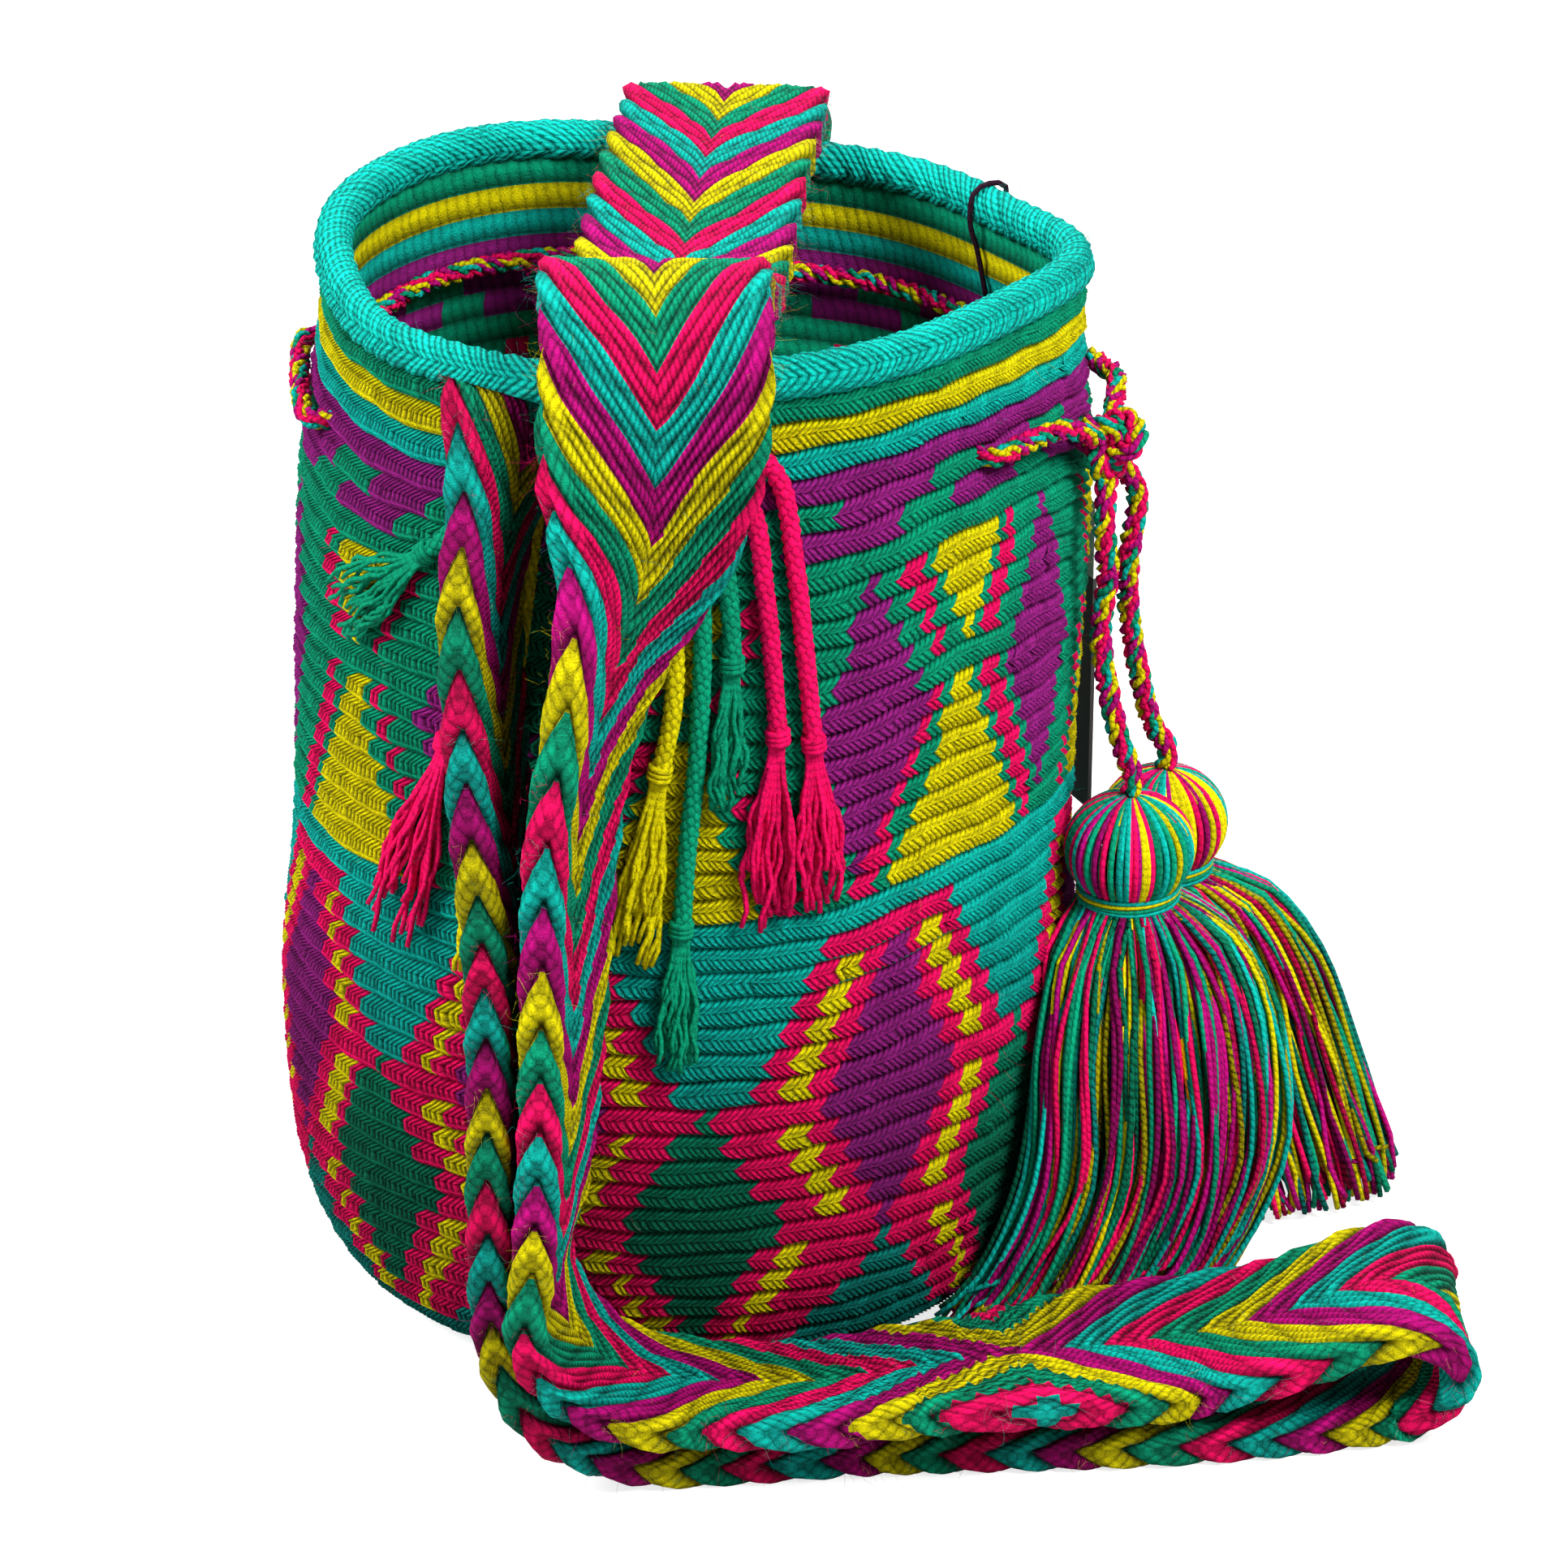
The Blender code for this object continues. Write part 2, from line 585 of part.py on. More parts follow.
def make_fringe(colour_name, colour, stops, tip, half_width):
    """One cord end and the small tassel that it frays into, both lying against the wall."""
    stand_off = FRINGE_RADIUS + FRINGE_CLEARANCE
    route = [wall_point(azimuth, level, stand_off) for azimuth, level in stops]
    cord("fringe_cord_" + colour_name, route, FRINGE_RADIUS, colour)
    start = stops[-1]
    rings = []
    for share, across, thick in (
        (0, FRINGE_RADIUS, FRINGE_RADIUS),
        (0.10, 1.3 * FRINGE_RADIUS, 1.2 * FRINGE_RADIUS),
        (0.22, 1.1 * FRINGE_RADIUS, FRINGE_RADIUS),
        (0.5, 0.62 * half_width, 0.89 * FRINGE_DEPTH),
        (0.8, half_width, FRINGE_DEPTH),
        (1, half_width, FRINGE_DEPTH),
    ):
        azimuth = start[0] + (tip[0] - start[0]) * share
        level = start[1] + (tip[1] - start[1]) * share
        centre = wall_point(azimuth, level, max(stand_off, thick + FRINGE_CLEARANCE))
        outward = Vector((cos(radians(azimuth)), sin(radians(azimuth)), 0))
        ahead = (wall_point(*tip) - wall_point(*start)).normalized()
        side = ahead.cross(outward).normalized()
        centre = centre + ahead * FRINGE_JOINT if share == 0 else centre
        turns = [2 * pi * k / FRINGE_SIDES for k in range(FRINGE_SIDES)]
        rings.append([centre + side * across * cos(turn) + outward * thick * sin(turn) for turn in turns])
    skin("fringe_tassel_" + colour_name, rings, colour)


# Swing tag


def make_tag():
    """A plain card tag against the back right of the wall, on a thread that goes over the rim."""
    level = TAG_TOP / BAG_HEIGHT
    top = wall_point(TAG_AZIMUTH, level, TAG_CLEARANCE)
    outward = Vector((cos(radians(TAG_AZIMUTH)), sin(radians(TAG_AZIMUTH)), 0))
    side = Vector((-outward.y, outward.x, 0))
    rings = []
    for drop in (0, -TAG_HEIGHT):
        middle = top + Vector((0, 0, drop))
        corners = ((-1, 0), (1, 0), (1, 1), (-1, 1))
        rings.append([middle + side * TAG_WIDTH / 2 * a + outward * TAG_THICKNESS * b for a, b in corners])
    skin("hang_tag", rings, CARD, 0.6)

    azimuth = TAG_AZIMUTH + 13
    clear = THREAD_RADIUS + THREAD_CLEARANCE
    edging_level = 1 - EDGING_HEIGHT / BAG_HEIGHT
    inside = -WALL - EDGING_BULGE - clear
    outside = EDGING_BULGE + clear
    route = [
        wall_point(azimuth - 3, 0.90, -WALL - clear),
        wall_point(azimuth - 1, 0.95, -WALL - clear - EDGING_BULGE * 0.4),
        wall_point(azimuth, edging_level, inside),
        wall_point(azimuth, 1.0, inside * 0.95),
        wall_point(azimuth, 1.0, -WALL / 2) + Vector((0, 0, clear + GAP)),
        wall_point(azimuth, 1.0, outside * 0.9),
        wall_point(azimuth, edging_level, outside),
        wall_point(azimuth - 6, 0.83, clear + RIB_HEIGHT),
        top + outward * TAG_THICKNESS / 2 + Vector((0, 0, GAP + THREAD_RADIUS / 2)),
    ]
    cord("tag_thread", route, THREAD_RADIUS, BLACK, 0.006)


for old in list(bpy.data.objects):
    bpy.data.objects.remove(old)
make_bag()
make_strap()
make_drawstring()
make_tassels()
for fringe in FRINGES:
    make_fringe(*fringe)
make_tag()
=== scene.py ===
"""Looks of the crocheted mochila bag: stitches, plaits, twisted cords and tassels, with floor and lamps.

Metres, +Z up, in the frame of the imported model. Shapes that the model sets are repeated here by formula.
"""

from math import acos, cos, pi, radians, sin

import bpy
import numpy as np
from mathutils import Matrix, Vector


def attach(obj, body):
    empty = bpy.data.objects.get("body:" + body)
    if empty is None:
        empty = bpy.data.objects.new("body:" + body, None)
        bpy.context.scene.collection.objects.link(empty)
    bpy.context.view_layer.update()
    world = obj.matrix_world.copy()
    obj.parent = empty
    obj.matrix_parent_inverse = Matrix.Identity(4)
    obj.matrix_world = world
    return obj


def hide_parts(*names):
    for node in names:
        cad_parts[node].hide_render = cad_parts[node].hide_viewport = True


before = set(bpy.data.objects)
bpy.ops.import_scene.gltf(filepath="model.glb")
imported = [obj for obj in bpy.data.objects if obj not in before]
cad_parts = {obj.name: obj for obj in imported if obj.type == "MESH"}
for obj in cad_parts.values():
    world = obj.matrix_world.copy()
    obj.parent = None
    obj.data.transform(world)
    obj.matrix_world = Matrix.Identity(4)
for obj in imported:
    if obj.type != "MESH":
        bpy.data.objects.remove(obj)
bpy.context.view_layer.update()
chance = np.random.default_rng(11)

# Bag wall, as in the model
BAG_HEIGHT = 0.300
WALL = 0.005
FOOT_RADIUS = 0.088
BULGE_RADIUS = 0.1125
WAIST_RADIUS = 0.109
RIM_RADIUS = 0.102
WALL_PROFILE = (
    (0.0, FOOT_RADIUS),
    (0.015, FOOT_RADIUS + 0.007),
    (0.05, FOOT_RADIUS + 0.0145),
    (0.13, BULGE_RADIUS - 0.003),
    (0.30, BULGE_RADIUS),
    (0.45, WAIST_RADIUS),
    (0.80, WAIST_RADIUS - 0.001),
    (0.92, RIM_RADIUS + 0.001),
    (1.0, RIM_RADIUS),
)
BASE_THICKNESS = 0.006
MOUTH_LEAN = 0.010
RIM_OFFSETS = (0.001, -0.001, 0.002, -0.006, 0.007, 0.009, 0.0, -0.004, -0.006, -0.001, 0.0, -0.006)
RIM_SADDLE = 0.0045
SADDLE_AZIMUTH = 130
SOFT_FROM = 0.6
ROWS = 38
ROW_START = 0.015
EDGING_HEIGHT = 0.009
EDGING_BULGE = 0.0022
EDGING_LEVEL = 1 - EDGING_HEIGHT / BAG_HEIGHT
ROW_PITCH = (EDGING_LEVEL - ROW_START) / ROWS

# Yarn colours, in the order that they take across the strap, whose purple is redder than that of the wall
PLUM, TURQUOISE, PINK, GREEN, YELLOW, PURPLE = range(6)
YARNS = np.array(
    [
        (0.500, 0.003, 0.190),
        (0.002, 0.480, 0.400),
        (0.950, 0.003, 0.125),
        (0.001, 0.330, 0.170),
        (0.780, 0.680, 0.001),
        (0.310, 0.014, 0.215),
    ]
)

# Painted shade: how much darker each yarn is painted low on the wall, for the shade that falls there
LOW_WALL_PAINTED_SHADE = np.array([0.5, 0.64, 0.32, 0.68, 0.2, 0.5])

# Plies of the drawstring, and the length of a turn
CORD_PLIES = ((PINK, YELLOW, PLUM), (TURQUOISE, PINK, YELLOW), (PLUM, GREEN, PINK))
CORD_PITCH = 0.012

# Stitches around the wall, units of its pattern, and the grid on each stitch
STITCHES = 186
PATTERN_ROUND = 238
STRAND_STEPS = 4
STRAND_PROFILE = np.array([0.0, 1.0, 0.0, 1.0])
# Within a row: share of its height, stand-off, relief of the strands, slant in stitches
ROW_SHAPE = (
    (0.00, -0.0019, 0.0001, 0.00),
    (0.12, -0.00035, 0.0009, -0.26),
    (0.34, 0.0006, 0.0011, -0.72),
    (0.57, -0.00045, 0.0004, -1.1),
    (0.7, 0.00025, 0.001, -0.78),
    (0.88, -0.00045, 0.0007, -0.28),
)


# Shapes of the model


def smooth_value(table, place):
    """Reads a smooth curve through (place, value) pairs at an array of places."""
    places, values = np.array(table, float).T
    place = np.clip(place, places[0], places[-1])
    i = np.clip(np.searchsorted(places, place, side="right") - 1, 0, len(places) - 2)
    k = np.arange(len(places))
    before, after = np.maximum(k - 1, 0), np.minimum(k + 1, k[-1])
    slopes = (values[after] - values[before]) / (places[after] - places[before])
    span = places[i + 1] - places[i]
    slope_in, slope_out = slopes[i] * span, slopes[i + 1] * span
    t = (place - places[i]) / span
    rise = t * t * (3 - 2 * t)
    step = (values[i + 1] - values[i]) * rise
    return values[i] + step + slope_in * t * (1 - t) ** 2 - slope_out * t * t * (1 - t)


def ease(low, high, value):
    """Rises smoothly from 0 at low to 1 at high."""
    t = np.clip((value - low) / (high - low), 0, 1)
    return t * t * (3 - 2 * t)


def wall_point(azimuth, level, stand_off=0.0):
    """Points on the outer wall, by azimuth in degrees and share of the height, stand_off outwards."""
    place = (np.asarray(part, float) for part in (azimuth, level, stand_off))
    azimuth, level, stand_off = np.broadcast_arrays(*place)
    softness = ease(SOFT_FROM, 1, level)
    table = [(30 * k, RIM_OFFSETS[k % 12]) for k in range(-1, 14)]
    radius = smooth_value(WALL_PROFILE, level) + softness * smooth_value(table, azimuth % 360) + stand_off
    angle = np.radians(azimuth)
    saddle = RIM_SADDLE * softness * np.cos(2 * (angle - radians(SADDLE_AZIMUTH)))
    centre_x = MOUTH_LEAN * np.maximum(level, 0) ** 1.5
    x, y = centre_x + radius * np.cos(angle), radius * np.sin(angle)
    return np.stack((x, y, level * BAG_HEIGHT + saddle), axis=-1)


def curve(points, pieces):
    """Points on a smooth curve through the given ones, with a number of pieces for each stretch."""
    samples = []
    for i, count in enumerate(pieces):
        before, after = points[max(i - 1, 0)], points[min(i + 2, len(points) - 1)]
        start, end = points[i], points[i + 1]
        for k in range(count):
            t = k / count
            bend = (2 * before - 5 * start + 4 * end - after) * t**2
            bend += (3 * start - before - 3 * end + after) * t**3
            samples.append(0.5 * (2 * start + (end - before) * t + bend))
    return np.array([*samples, points[-1]])


def smooth_path(points, step):
    """Points about a step apart along a smooth curve through the given points, ends included."""
    points = [np.array(point, float) for point in points]
    gaps = [float(np.linalg.norm(end - start)) for start, end in zip(points, points[1:])]
    return curve(points, [max(1, round(gap / step)) for gap in gaps])


def unit(vector):
    return vector / np.linalg.norm(vector, axis=-1, keepdims=True)


def turned(angle, first, second):
    """Directions at an angle from the first one towards the second."""
    angle = np.asarray(angle)[..., None]
    return np.cos(angle) * first + np.sin(angle) * second


def outward(azimuth):
    return turned(np.radians(azimuth), np.array((1, 0, 0)), np.array((0, 1, 0)))


def distances(path):
    """Distance along a path to each of its points."""
    return np.concatenate(([0], np.cumsum(np.linalg.norm(np.diff(path, axis=0), axis=1))))


# Meshes from grids of points


def put(name, data, place=(0, 0, 0), turn=(0, 0, 0)):
    """Puts an object into the scene."""
    piece = bpy.data.objects.new(name, data)
    piece.location = place
    piece.rotation_euler = turn
    bpy.context.collection.objects.link(piece)
    return piece


class Weave:
    """Gathers grids of points into one mesh that carries yarn colours and thread coordinates."""

    def __init__(self):
        self.points, self.faces, self.threads, self.colours = [], [], [], []
        self.count = 0

    def add(self, points, thread, colour, looped=False, turned_over=False):
        """Adds a grid of rows by columns that closes around its columns.

        thread holds coordinates for rows by columns + 1, colour one value per face, and a looped grid
        also closes from its last row to its first. Other grids get a flat face at each end. A grid that
        is turned over has its faces the other way round.
        """
        rows, columns = points.shape[:2]
        spans = rows if looped else rows - 1
        index = self.count + np.arange(rows * columns).reshape(rows, columns)
        index = np.concatenate((index, index[:, :1]), axis=1)
        if looped:
            index = np.concatenate((index, index[:1]), axis=0)
        quads = np.stack((index[:-1, :-1], index[:-1, 1:], index[1:, 1:], index[1:, :-1]), axis=-1)
        quads = quads.reshape(-1, 4)
        coordinates = (thread[:-1, :-1], thread[:-1, 1:], thread[1:, 1:], thread[1:, :-1])
        coordinates = np.stack(coordinates, axis=2).reshape(-1, 4, 2)
        shade = np.broadcast_to(colour, (spans, columns, 4)).reshape(-1, 1, 4).repeat(4, axis=1)
        flat = points.reshape(-1, 3)
        caps = [index[0, :-1][::-1], index[-1, :-1]]
        if turned_over:
            quads, coordinates, shade = quads[:, ::-1], coordinates[:, ::-1], shade[:, ::-1]
            caps = [cap[::-1] for cap in caps]
        self.points.append(flat)
        self.count += len(flat)
        self.faces += quads.tolist()
        self.threads.append(coordinates.reshape(-1, 2))
        self.colours.append(shade.reshape(-1, 4))
        if not looped:
            self.faces += [cap.tolist() for cap in caps]
            self.threads += [thread[0, :-1], thread[-1, :-1]]
            self.colours += [np.broadcast_to(shade[row, 0], (columns, 4)) for row in (0, -1)]

    def make(self, name, material, *nodes, slot=None):
        """Makes the object, which rides with the model and stands for the given nodes."""

        def fill(target, key, parts):
            target.foreach_set(key, np.concatenate(parts).astype(np.float32).ravel())

        mesh = bpy.data.meshes.new(name)
        mesh.from_pydata(np.concatenate(self.points), [], self.faces)
        fill(mesh.uv_layers.new(name="thread").data, "uv", self.threads)
        fill(mesh.color_attributes.new("yarn", "FLOAT_COLOR", "CORNER").data, "color", self.colours)
        mesh.shade_smooth()
        mesh.materials.append(material)
        piece = put(name, mesh)
        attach(piece, "root")
        if nodes:
            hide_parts(*nodes)
        return piece


def grid(u, v):
    """Thread coordinates of a grid, from arrays that vary along its rows, its columns or both."""
    return np.stack(np.broadcast_arrays(u, v), axis=-1).astype(float)


def tinted(yarn):
    """Yarn colours with a random number in the fourth place."""
    yarn = np.asarray(yarn)
    return np.concatenate((YARNS[yarn], chance.random((*yarn.shape, 1))), axis=-1)


def frames_along(path):
    """Tangent and two steady side directions at each point of a path."""
    tangent = unit(np.gradient(path, axis=0))
    side = np.zeros_like(path)
    last = np.array((0.3, 0.2, 1.0) if abs(tangent[0][2]) < 0.8 else (1.0, 0.3, 0.1))
    for i, ahead in enumerate(tangent):
        last = unit(last - ahead * (last @ ahead))
        side[i] = last
    return tangent, side, np.cross(tangent, side)


def tube(path, radius, sides):
    """Rings of points around a path; radius is one number or one for each point."""
    _, side, lift = frames_along(path)
    turn = 2 * pi * np.arange(sides) / sides
    around = turned(turn, side[:, None], lift[:, None])
    return path[:, None] + around * np.broadcast_to(radius, (len(path),))[:, None, None]


def add_thread(weave, path, radius, yarn, sides):
    """One round strand in one colour."""
    thread = grid(distances(path)[:, None] * 1000, np.arange(sides + 1) / sides)
    weave.add(tube(path, radius, sides), thread, tinted(yarn))


def add_ring(weave, path, radius, yarn, spacing):
    """One round strand in one colour, whose path ends where it starts."""
    points = tube(np.vstack((path, path[:1])), radius, 6)[:-1]
    thread = grid(np.arange(len(path) + 1)[:, None] * spacing, np.arange(7) / 6)
    weave.add(points, thread, tinted(yarn), looped=True)


def add_rope(weave, path, radius, yarn, pitch):
    """Three strands of one colour laid around a path like a rope."""
    _, side, lift = frames_along(path)
    for k in range(3):
        turn = 2 * pi * (distances(path) / pitch + k / 3)
        add_thread(weave, path + turned(turn, side, lift) * radius / 2, radius / 2, yarn, 7)


def add_twine(weave, path, radius):
    """Plies laid around a path like a rope, each of them twisted from yarns of several colours."""
    ply = radius * 0.5
    strand = ply * 0.56
    _, side, lift = frames_along(path)
    along = distances(path)
    for k, yarns in enumerate(CORD_PLIES):
        turn = 2 * pi * (along / CORD_PITCH + k / 3) + 0.3 * np.sin(along * 900 + k)
        out = turned(turn, side, lift)
        across = turned(turn, lift, -side)
        middle = path + out * (radius - ply)
        for j, yarn in enumerate(yarns):
            spin = 2 * pi * (j / 3 - along / (0.62 * CORD_PITCH))
            add_thread(weave, middle + turned(spin, out, across) * (ply - strand), strand, yarn, 4)


# Shader arithmetic


class Field:
    """A shader socket that takes plain arithmetic, and makes the nodes for it."""

    def __init__(self, tree, socket):
        self.tree, self.socket = tree, socket

    def make(self, kind, settings=None, **values):
        """Adds a node; values name its input sockets, with spaces as underscores."""
        node = self.tree.nodes.new("ShaderNode" + kind)
        for key, value in (settings or {}).items():
            setattr(node, key, value)
        for key, value in values.items():
            socket = node.inputs[int(key[1:])] if key[0] == "_" else node.inputs[key.replace("_", " ")]
            if isinstance(value, Field):
                self.tree.links.new(value.socket, socket)
            else:
                socket.default_value = value
        return node

    def out(self, node, name=0):
        return Field(self.tree, node.outputs[name])

    def into(self, node, name):
        self.tree.links.new(self.socket, node.inputs[name])

    def read(self, kind, name, **values):
        """One output of a new node."""
        return self.out(self.make(kind, **values), name)

    def maths(self, operation, first, second=0.0):
        return self.out(self.make("Math", {"operation": operation}, _0=first, _1=second))

    def __add__(self, other):
        return self.maths("ADD", self, other)

    def __radd__(self, other):
        return self.maths("ADD", other, self)

    def __sub__(self, other):
        return self.maths("SUBTRACT", self, other)

    def __mul__(self, other):
        return self.maths("MULTIPLY", self, other)

    def crest(self, sharpness):
        """0 where the value is whole and 1 half way between."""
        return self.maths("POWER", self.maths("ABSOLUTE", self.maths("SINE", self * pi)), sharpness)

    def noise(self, scale, detail=3.0):
        """Soft noise on the object, between 0 and 1."""
        place = self.read("TexCoord", "Object")
        return self.read("TexNoise", 0, Vector=place, Scale=scale, Detail=detail, Roughness=0.6)


def new_material(name):
    """A material, its surface node and a field to start from."""
    material = bpy.data.materials.new(name)
    material.use_nodes = True
    tree = material.node_tree
    return material, tree.nodes["Principled BSDF"], Field(tree, None)


def yarn_material(name, along, across, twist, depth, bright, uneven=0.25, strands=None, deep=0.0, loops=None):
    """Yarn of twisted plies.

    along and across give the turns of the twist per thread coordinate, twist how much it shows, in the bumps
    and as painted light and shade on the plies, depth the height of the bumps, uneven how much strands differ
    in light at random, strands the number of strands per coordinate, deep how dark the painted shade between
    them gets, and loops the loops per coordinate of a strand, with painted shade between the loops.
    """
    material, surface, start = new_material(name)
    thread = start.out(start.make("UVMap", {"uv_map": "thread"}))
    parts = start.make("SeparateXYZ", Vector=thread)
    u, v = start.out(parts, "X"), start.out(parts, "Y")
    wander = start.noise(420.0, 2.0)
    ply = (u * along + v * across + wander * 0.4).crest(0.8)
    fibre = start.noise(2300.0, 4.0)
    cloud = start.noise(38.0, 2.0)
    attribute = start.make("Attribute", {"attribute_name": "yarn"})
    yarn, odd = start.out(attribute, "Color"), start.out(attribute, "Alpha")
    clump = start.noise(700.0, 2.0)
    # Painted light and shade in the light factor: lighter ply crests, fibre and clump noise as small
    # highlights and shade; cloud and the odd strand are tone that differs at random
    light = ply * 0.45 * twist + (fibre - 0.35) * 2.1 + clump * 0.55 + cloud * 0.20 + (odd - 0.5) * uneven
    height = ply * (0.5 * twist) + fibre * 0.8
    if strands:
        between = (u * strands[0] + v * strands[1] + clump * 0.16).crest(1.0)
        if loops:
            at_edge = start.maths("MINIMUM", start.maths("MAXIMUM", (u - LEAF_FROM) * 0.25), 1.0)
            leaf = (v * (1 / STRIPE_CORDS) + clump * 0.04).crest(0.6)
            between = between * (at_edge * -0.75 + 1) + leaf * at_edge * 0.75
            # Painted light and shade at the plaited edge: lighter leaf crests, darker between them and along
            # the seam where the two halves meet
            light = light * (leaf * at_edge * 0.5 + at_edge * -0.38 + 1)
            seam = start.maths("MINIMUM", start.maths("ABSOLUTE", u - LEAF_SEAM) * 0.4, 1.0)
            light = light * (seam * 0.55 + 0.45)
        # Painted shade: darker in the clefts between strands
        light = light * (between * deep + (1 - deep))
        height = height + between * 0.8
    if loops:
        loop = (u * loops[0] + v * loops[1] + wander * 0.3).crest(0.6)
        # Painted shade: darker between the loops
        light = light * (loop * 0.62 + 0.50)
        height = height + loop * 0.8
    light = start.maths("MAXIMUM", light * bright, 0.03)
    shaded = start.make("VectorMath", {"operation": "SCALE"}, _0=yarn, Scale=light)
    start.out(shaded, "Vector").into(surface, "Base Color")
    (0.60 + fibre * 0.3).into(surface, "Roughness")
    start.read("Bump", "Normal", Height=height, Strength=1.0, Distance=depth).into(surface, "Normal")
    surface.inputs["Specular IOR Level"].default_value = 0.08
    return material


# Thread coordinates of the strap: a number per metre across it, and one by cord
STRAP_THREAD = 1760
STRAP_LOOPS = (95 / STRAP_THREAD, 0.5)
# Where the plait of the edge starts, and where its two halves meet
LEAF_FROM = 0.0225 * STRAP_THREAD
LEAF_SEAM = 0.0316 * STRAP_THREAD
STRIPE_CORDS = 3

WALL_YARN = yarn_material("crochet_yarn", 0.0, 5.0, 0.6, 0.0010, 1.25, strands=(2.0, 0.0), deep=0.80)
LINING_YARN = yarn_material("lining_yarn", 1.0, 0.5, 0.9, 0.0014, 1.1, strands=(0.0, 1.0), deep=0.75)
EDGING_YARN = yarn_material("edging_yarn", 0.0, 6.0, 0.8, 0.0012, 1.45, strands=(3.0, 0.0), deep=0.72)
STRAP_YARN = yarn_material("strap_yarn", 0.55, 1.0, 1.3, 0.0012, 0.80, 0.25, (0.0, 1.0), 0.88, STRAP_LOOPS)
THREAD_YARN = yarn_material("thread_yarn", 0.42, 1.0, 0.6, 0.0004, 0.88)
HEAD_YARN = yarn_material("tassel_head_yarn", 0.42, 1.0, 0.6, 0.0005, 0.95, 0.6)
# Painted shade: the skirt yarn is darker than the head yarn, for the shade that the skirt hangs in
SKIRT_YARN = yarn_material("tassel_skirt_yarn", 0.42, 1.0, 1.0, 0.0006, 0.72, 1.3)
CORD_YARN = yarn_material("cord_yarn", 0.55, 1.0, 1.2, 0.0008, 0.80)


# Pattern of the wall, by rows from the base and azimuth, with PATTERN_ROUND units of distance to a turn

UPPER_DIAMONDS = (-119.7, -62.2, -26.7, 26.7, 80.1, 133.5, 186.9)
HOURGLASSES = (-143.9, -89.5, -45.9, 0.0, 53.4, 106.8, 160.2)
LOWER_DIAMONDS = (-110.0, -57.0, -7.0, 44.3, 95.7, 147.2, 202.7)
GREEN_DIAMONDS = (-135.2, -84.8, -32.8, 18.6, 70.0, 121.5, 173.0)


def off_centre(azimuth, centres):
    """Distance to the nearest of some motif centres."""
    gap = np.abs((azimuth[..., None] - np.array(centres) + 180) % 360 - 180)
    return gap.min(axis=-1) * PATTERN_ROUND / 360


def band(distance, low, high):
    return (distance >= low) & (distance < high)


def stripe_yarn(row, azimuth):
    """Stripes under the mouth, with steps of purple in the green ones."""
    yarn = np.full(row.shape, GREEN)
    yarn[row == 36] = YELLOW
    yarn[row == 35] = TURQUOISE
    yarn[row == 34] = PURPLE
    yarn[(row == 33) & ((azimuth + 67) % 26 < 14)] = PURPLE
    yarn[(row == 32) & ((azimuth + 75) % 26 < 16)] = PURPLE
    return yarn


def upper_yarn(row, azimuth):
    """Purple diamonds between yellow hourglasses with pink steps along them."""
    yarn = np.full(row.shape, GREEN)
    diamond = off_centre(azimuth, UPPER_DIAMONDS)
    yarn[(diamond < 6.4 * (1 - np.abs(row - 25.0) / 5.6)) & (row > 19) & (row < 31)] = PURPLE
    hourglass = off_centre(azimuth, HOURGLASSES)
    edge = np.where(row >= 27, 1.15 * (row - 26.2), 1.18 * (26.0 - row))
    yarn[band(hourglass - edge, 1.6, 3.5) & (row != 26)] = PINK
    yarn[(hourglass < edge) & (row != 26)] = YELLOW
    return yarn


def lower_yarn(row, azimuth):
    """Purple and green diamonds in a pink lattice with yellow steps, and turquoise triangles between."""
    purple = off_centre(azimuth, LOWER_DIAMONDS)
    green = off_centre(azimuth, GREEN_DIAMONDS)
    purple_edge = np.where(row > 11, 1.25 * (17 - row), 1.3 * (row - 5.6))
    green_edge = np.where(row > 6, 1.6 * (11.4 - row), 1.5 * (row - 1.4))
    yarn = np.full(row.shape, PINK)
    yarn[band(purple - purple_edge, 2.4, 4.8) & (row > 6) & (row < 17) & (row != 11)] = YELLOW
    yarn[band(green - green_edge, 2.4, 4.6) & (row < 6)] = YELLOW
    yarn[(purple - purple_edge > 7.0) & (row > 11)] = TURQUOISE
    yarn[(purple < 2.1 * (5.2 - row)) & (row < 6)] = TURQUOISE
    yarn[(purple < purple_edge) & (row > 5)] = PURPLE
    yarn[(green < green_edge) & (row < 12)] = GREEN
    return yarn


def wall_yarn(row, azimuth):
    yarn = lower_yarn(row, azimuth)
    yarn = np.where(row >= 18, TURQUOISE, yarn)
    yarn = np.where(row >= 19, upper_yarn(row, azimuth), yarn)
    yarn = np.where(row >= 31, stripe_yarn(row, azimuth), yarn)
    return np.where(row == 0, TURQUOISE, yarn)


# Wall, lining, base and edging


def unevenness(azimuth, row):
    """How far hand work strays, in rows."""
    angle = np.radians(azimuth)
    slow = np.sin(3 * angle + 0.35 * row) + 0.8 * np.sin(7 * angle - 0.5 * row + 1)
    sag = ease(-72, -46, azimuth) * (1 - ease(-32, 10, azimuth)) * ease(6, 18, row) * (1 - ease(31, 38, row))
    return 0.07 * slow + 0.05 * np.sin(23 * angle + 1.7 * row) + 0.95 * sag


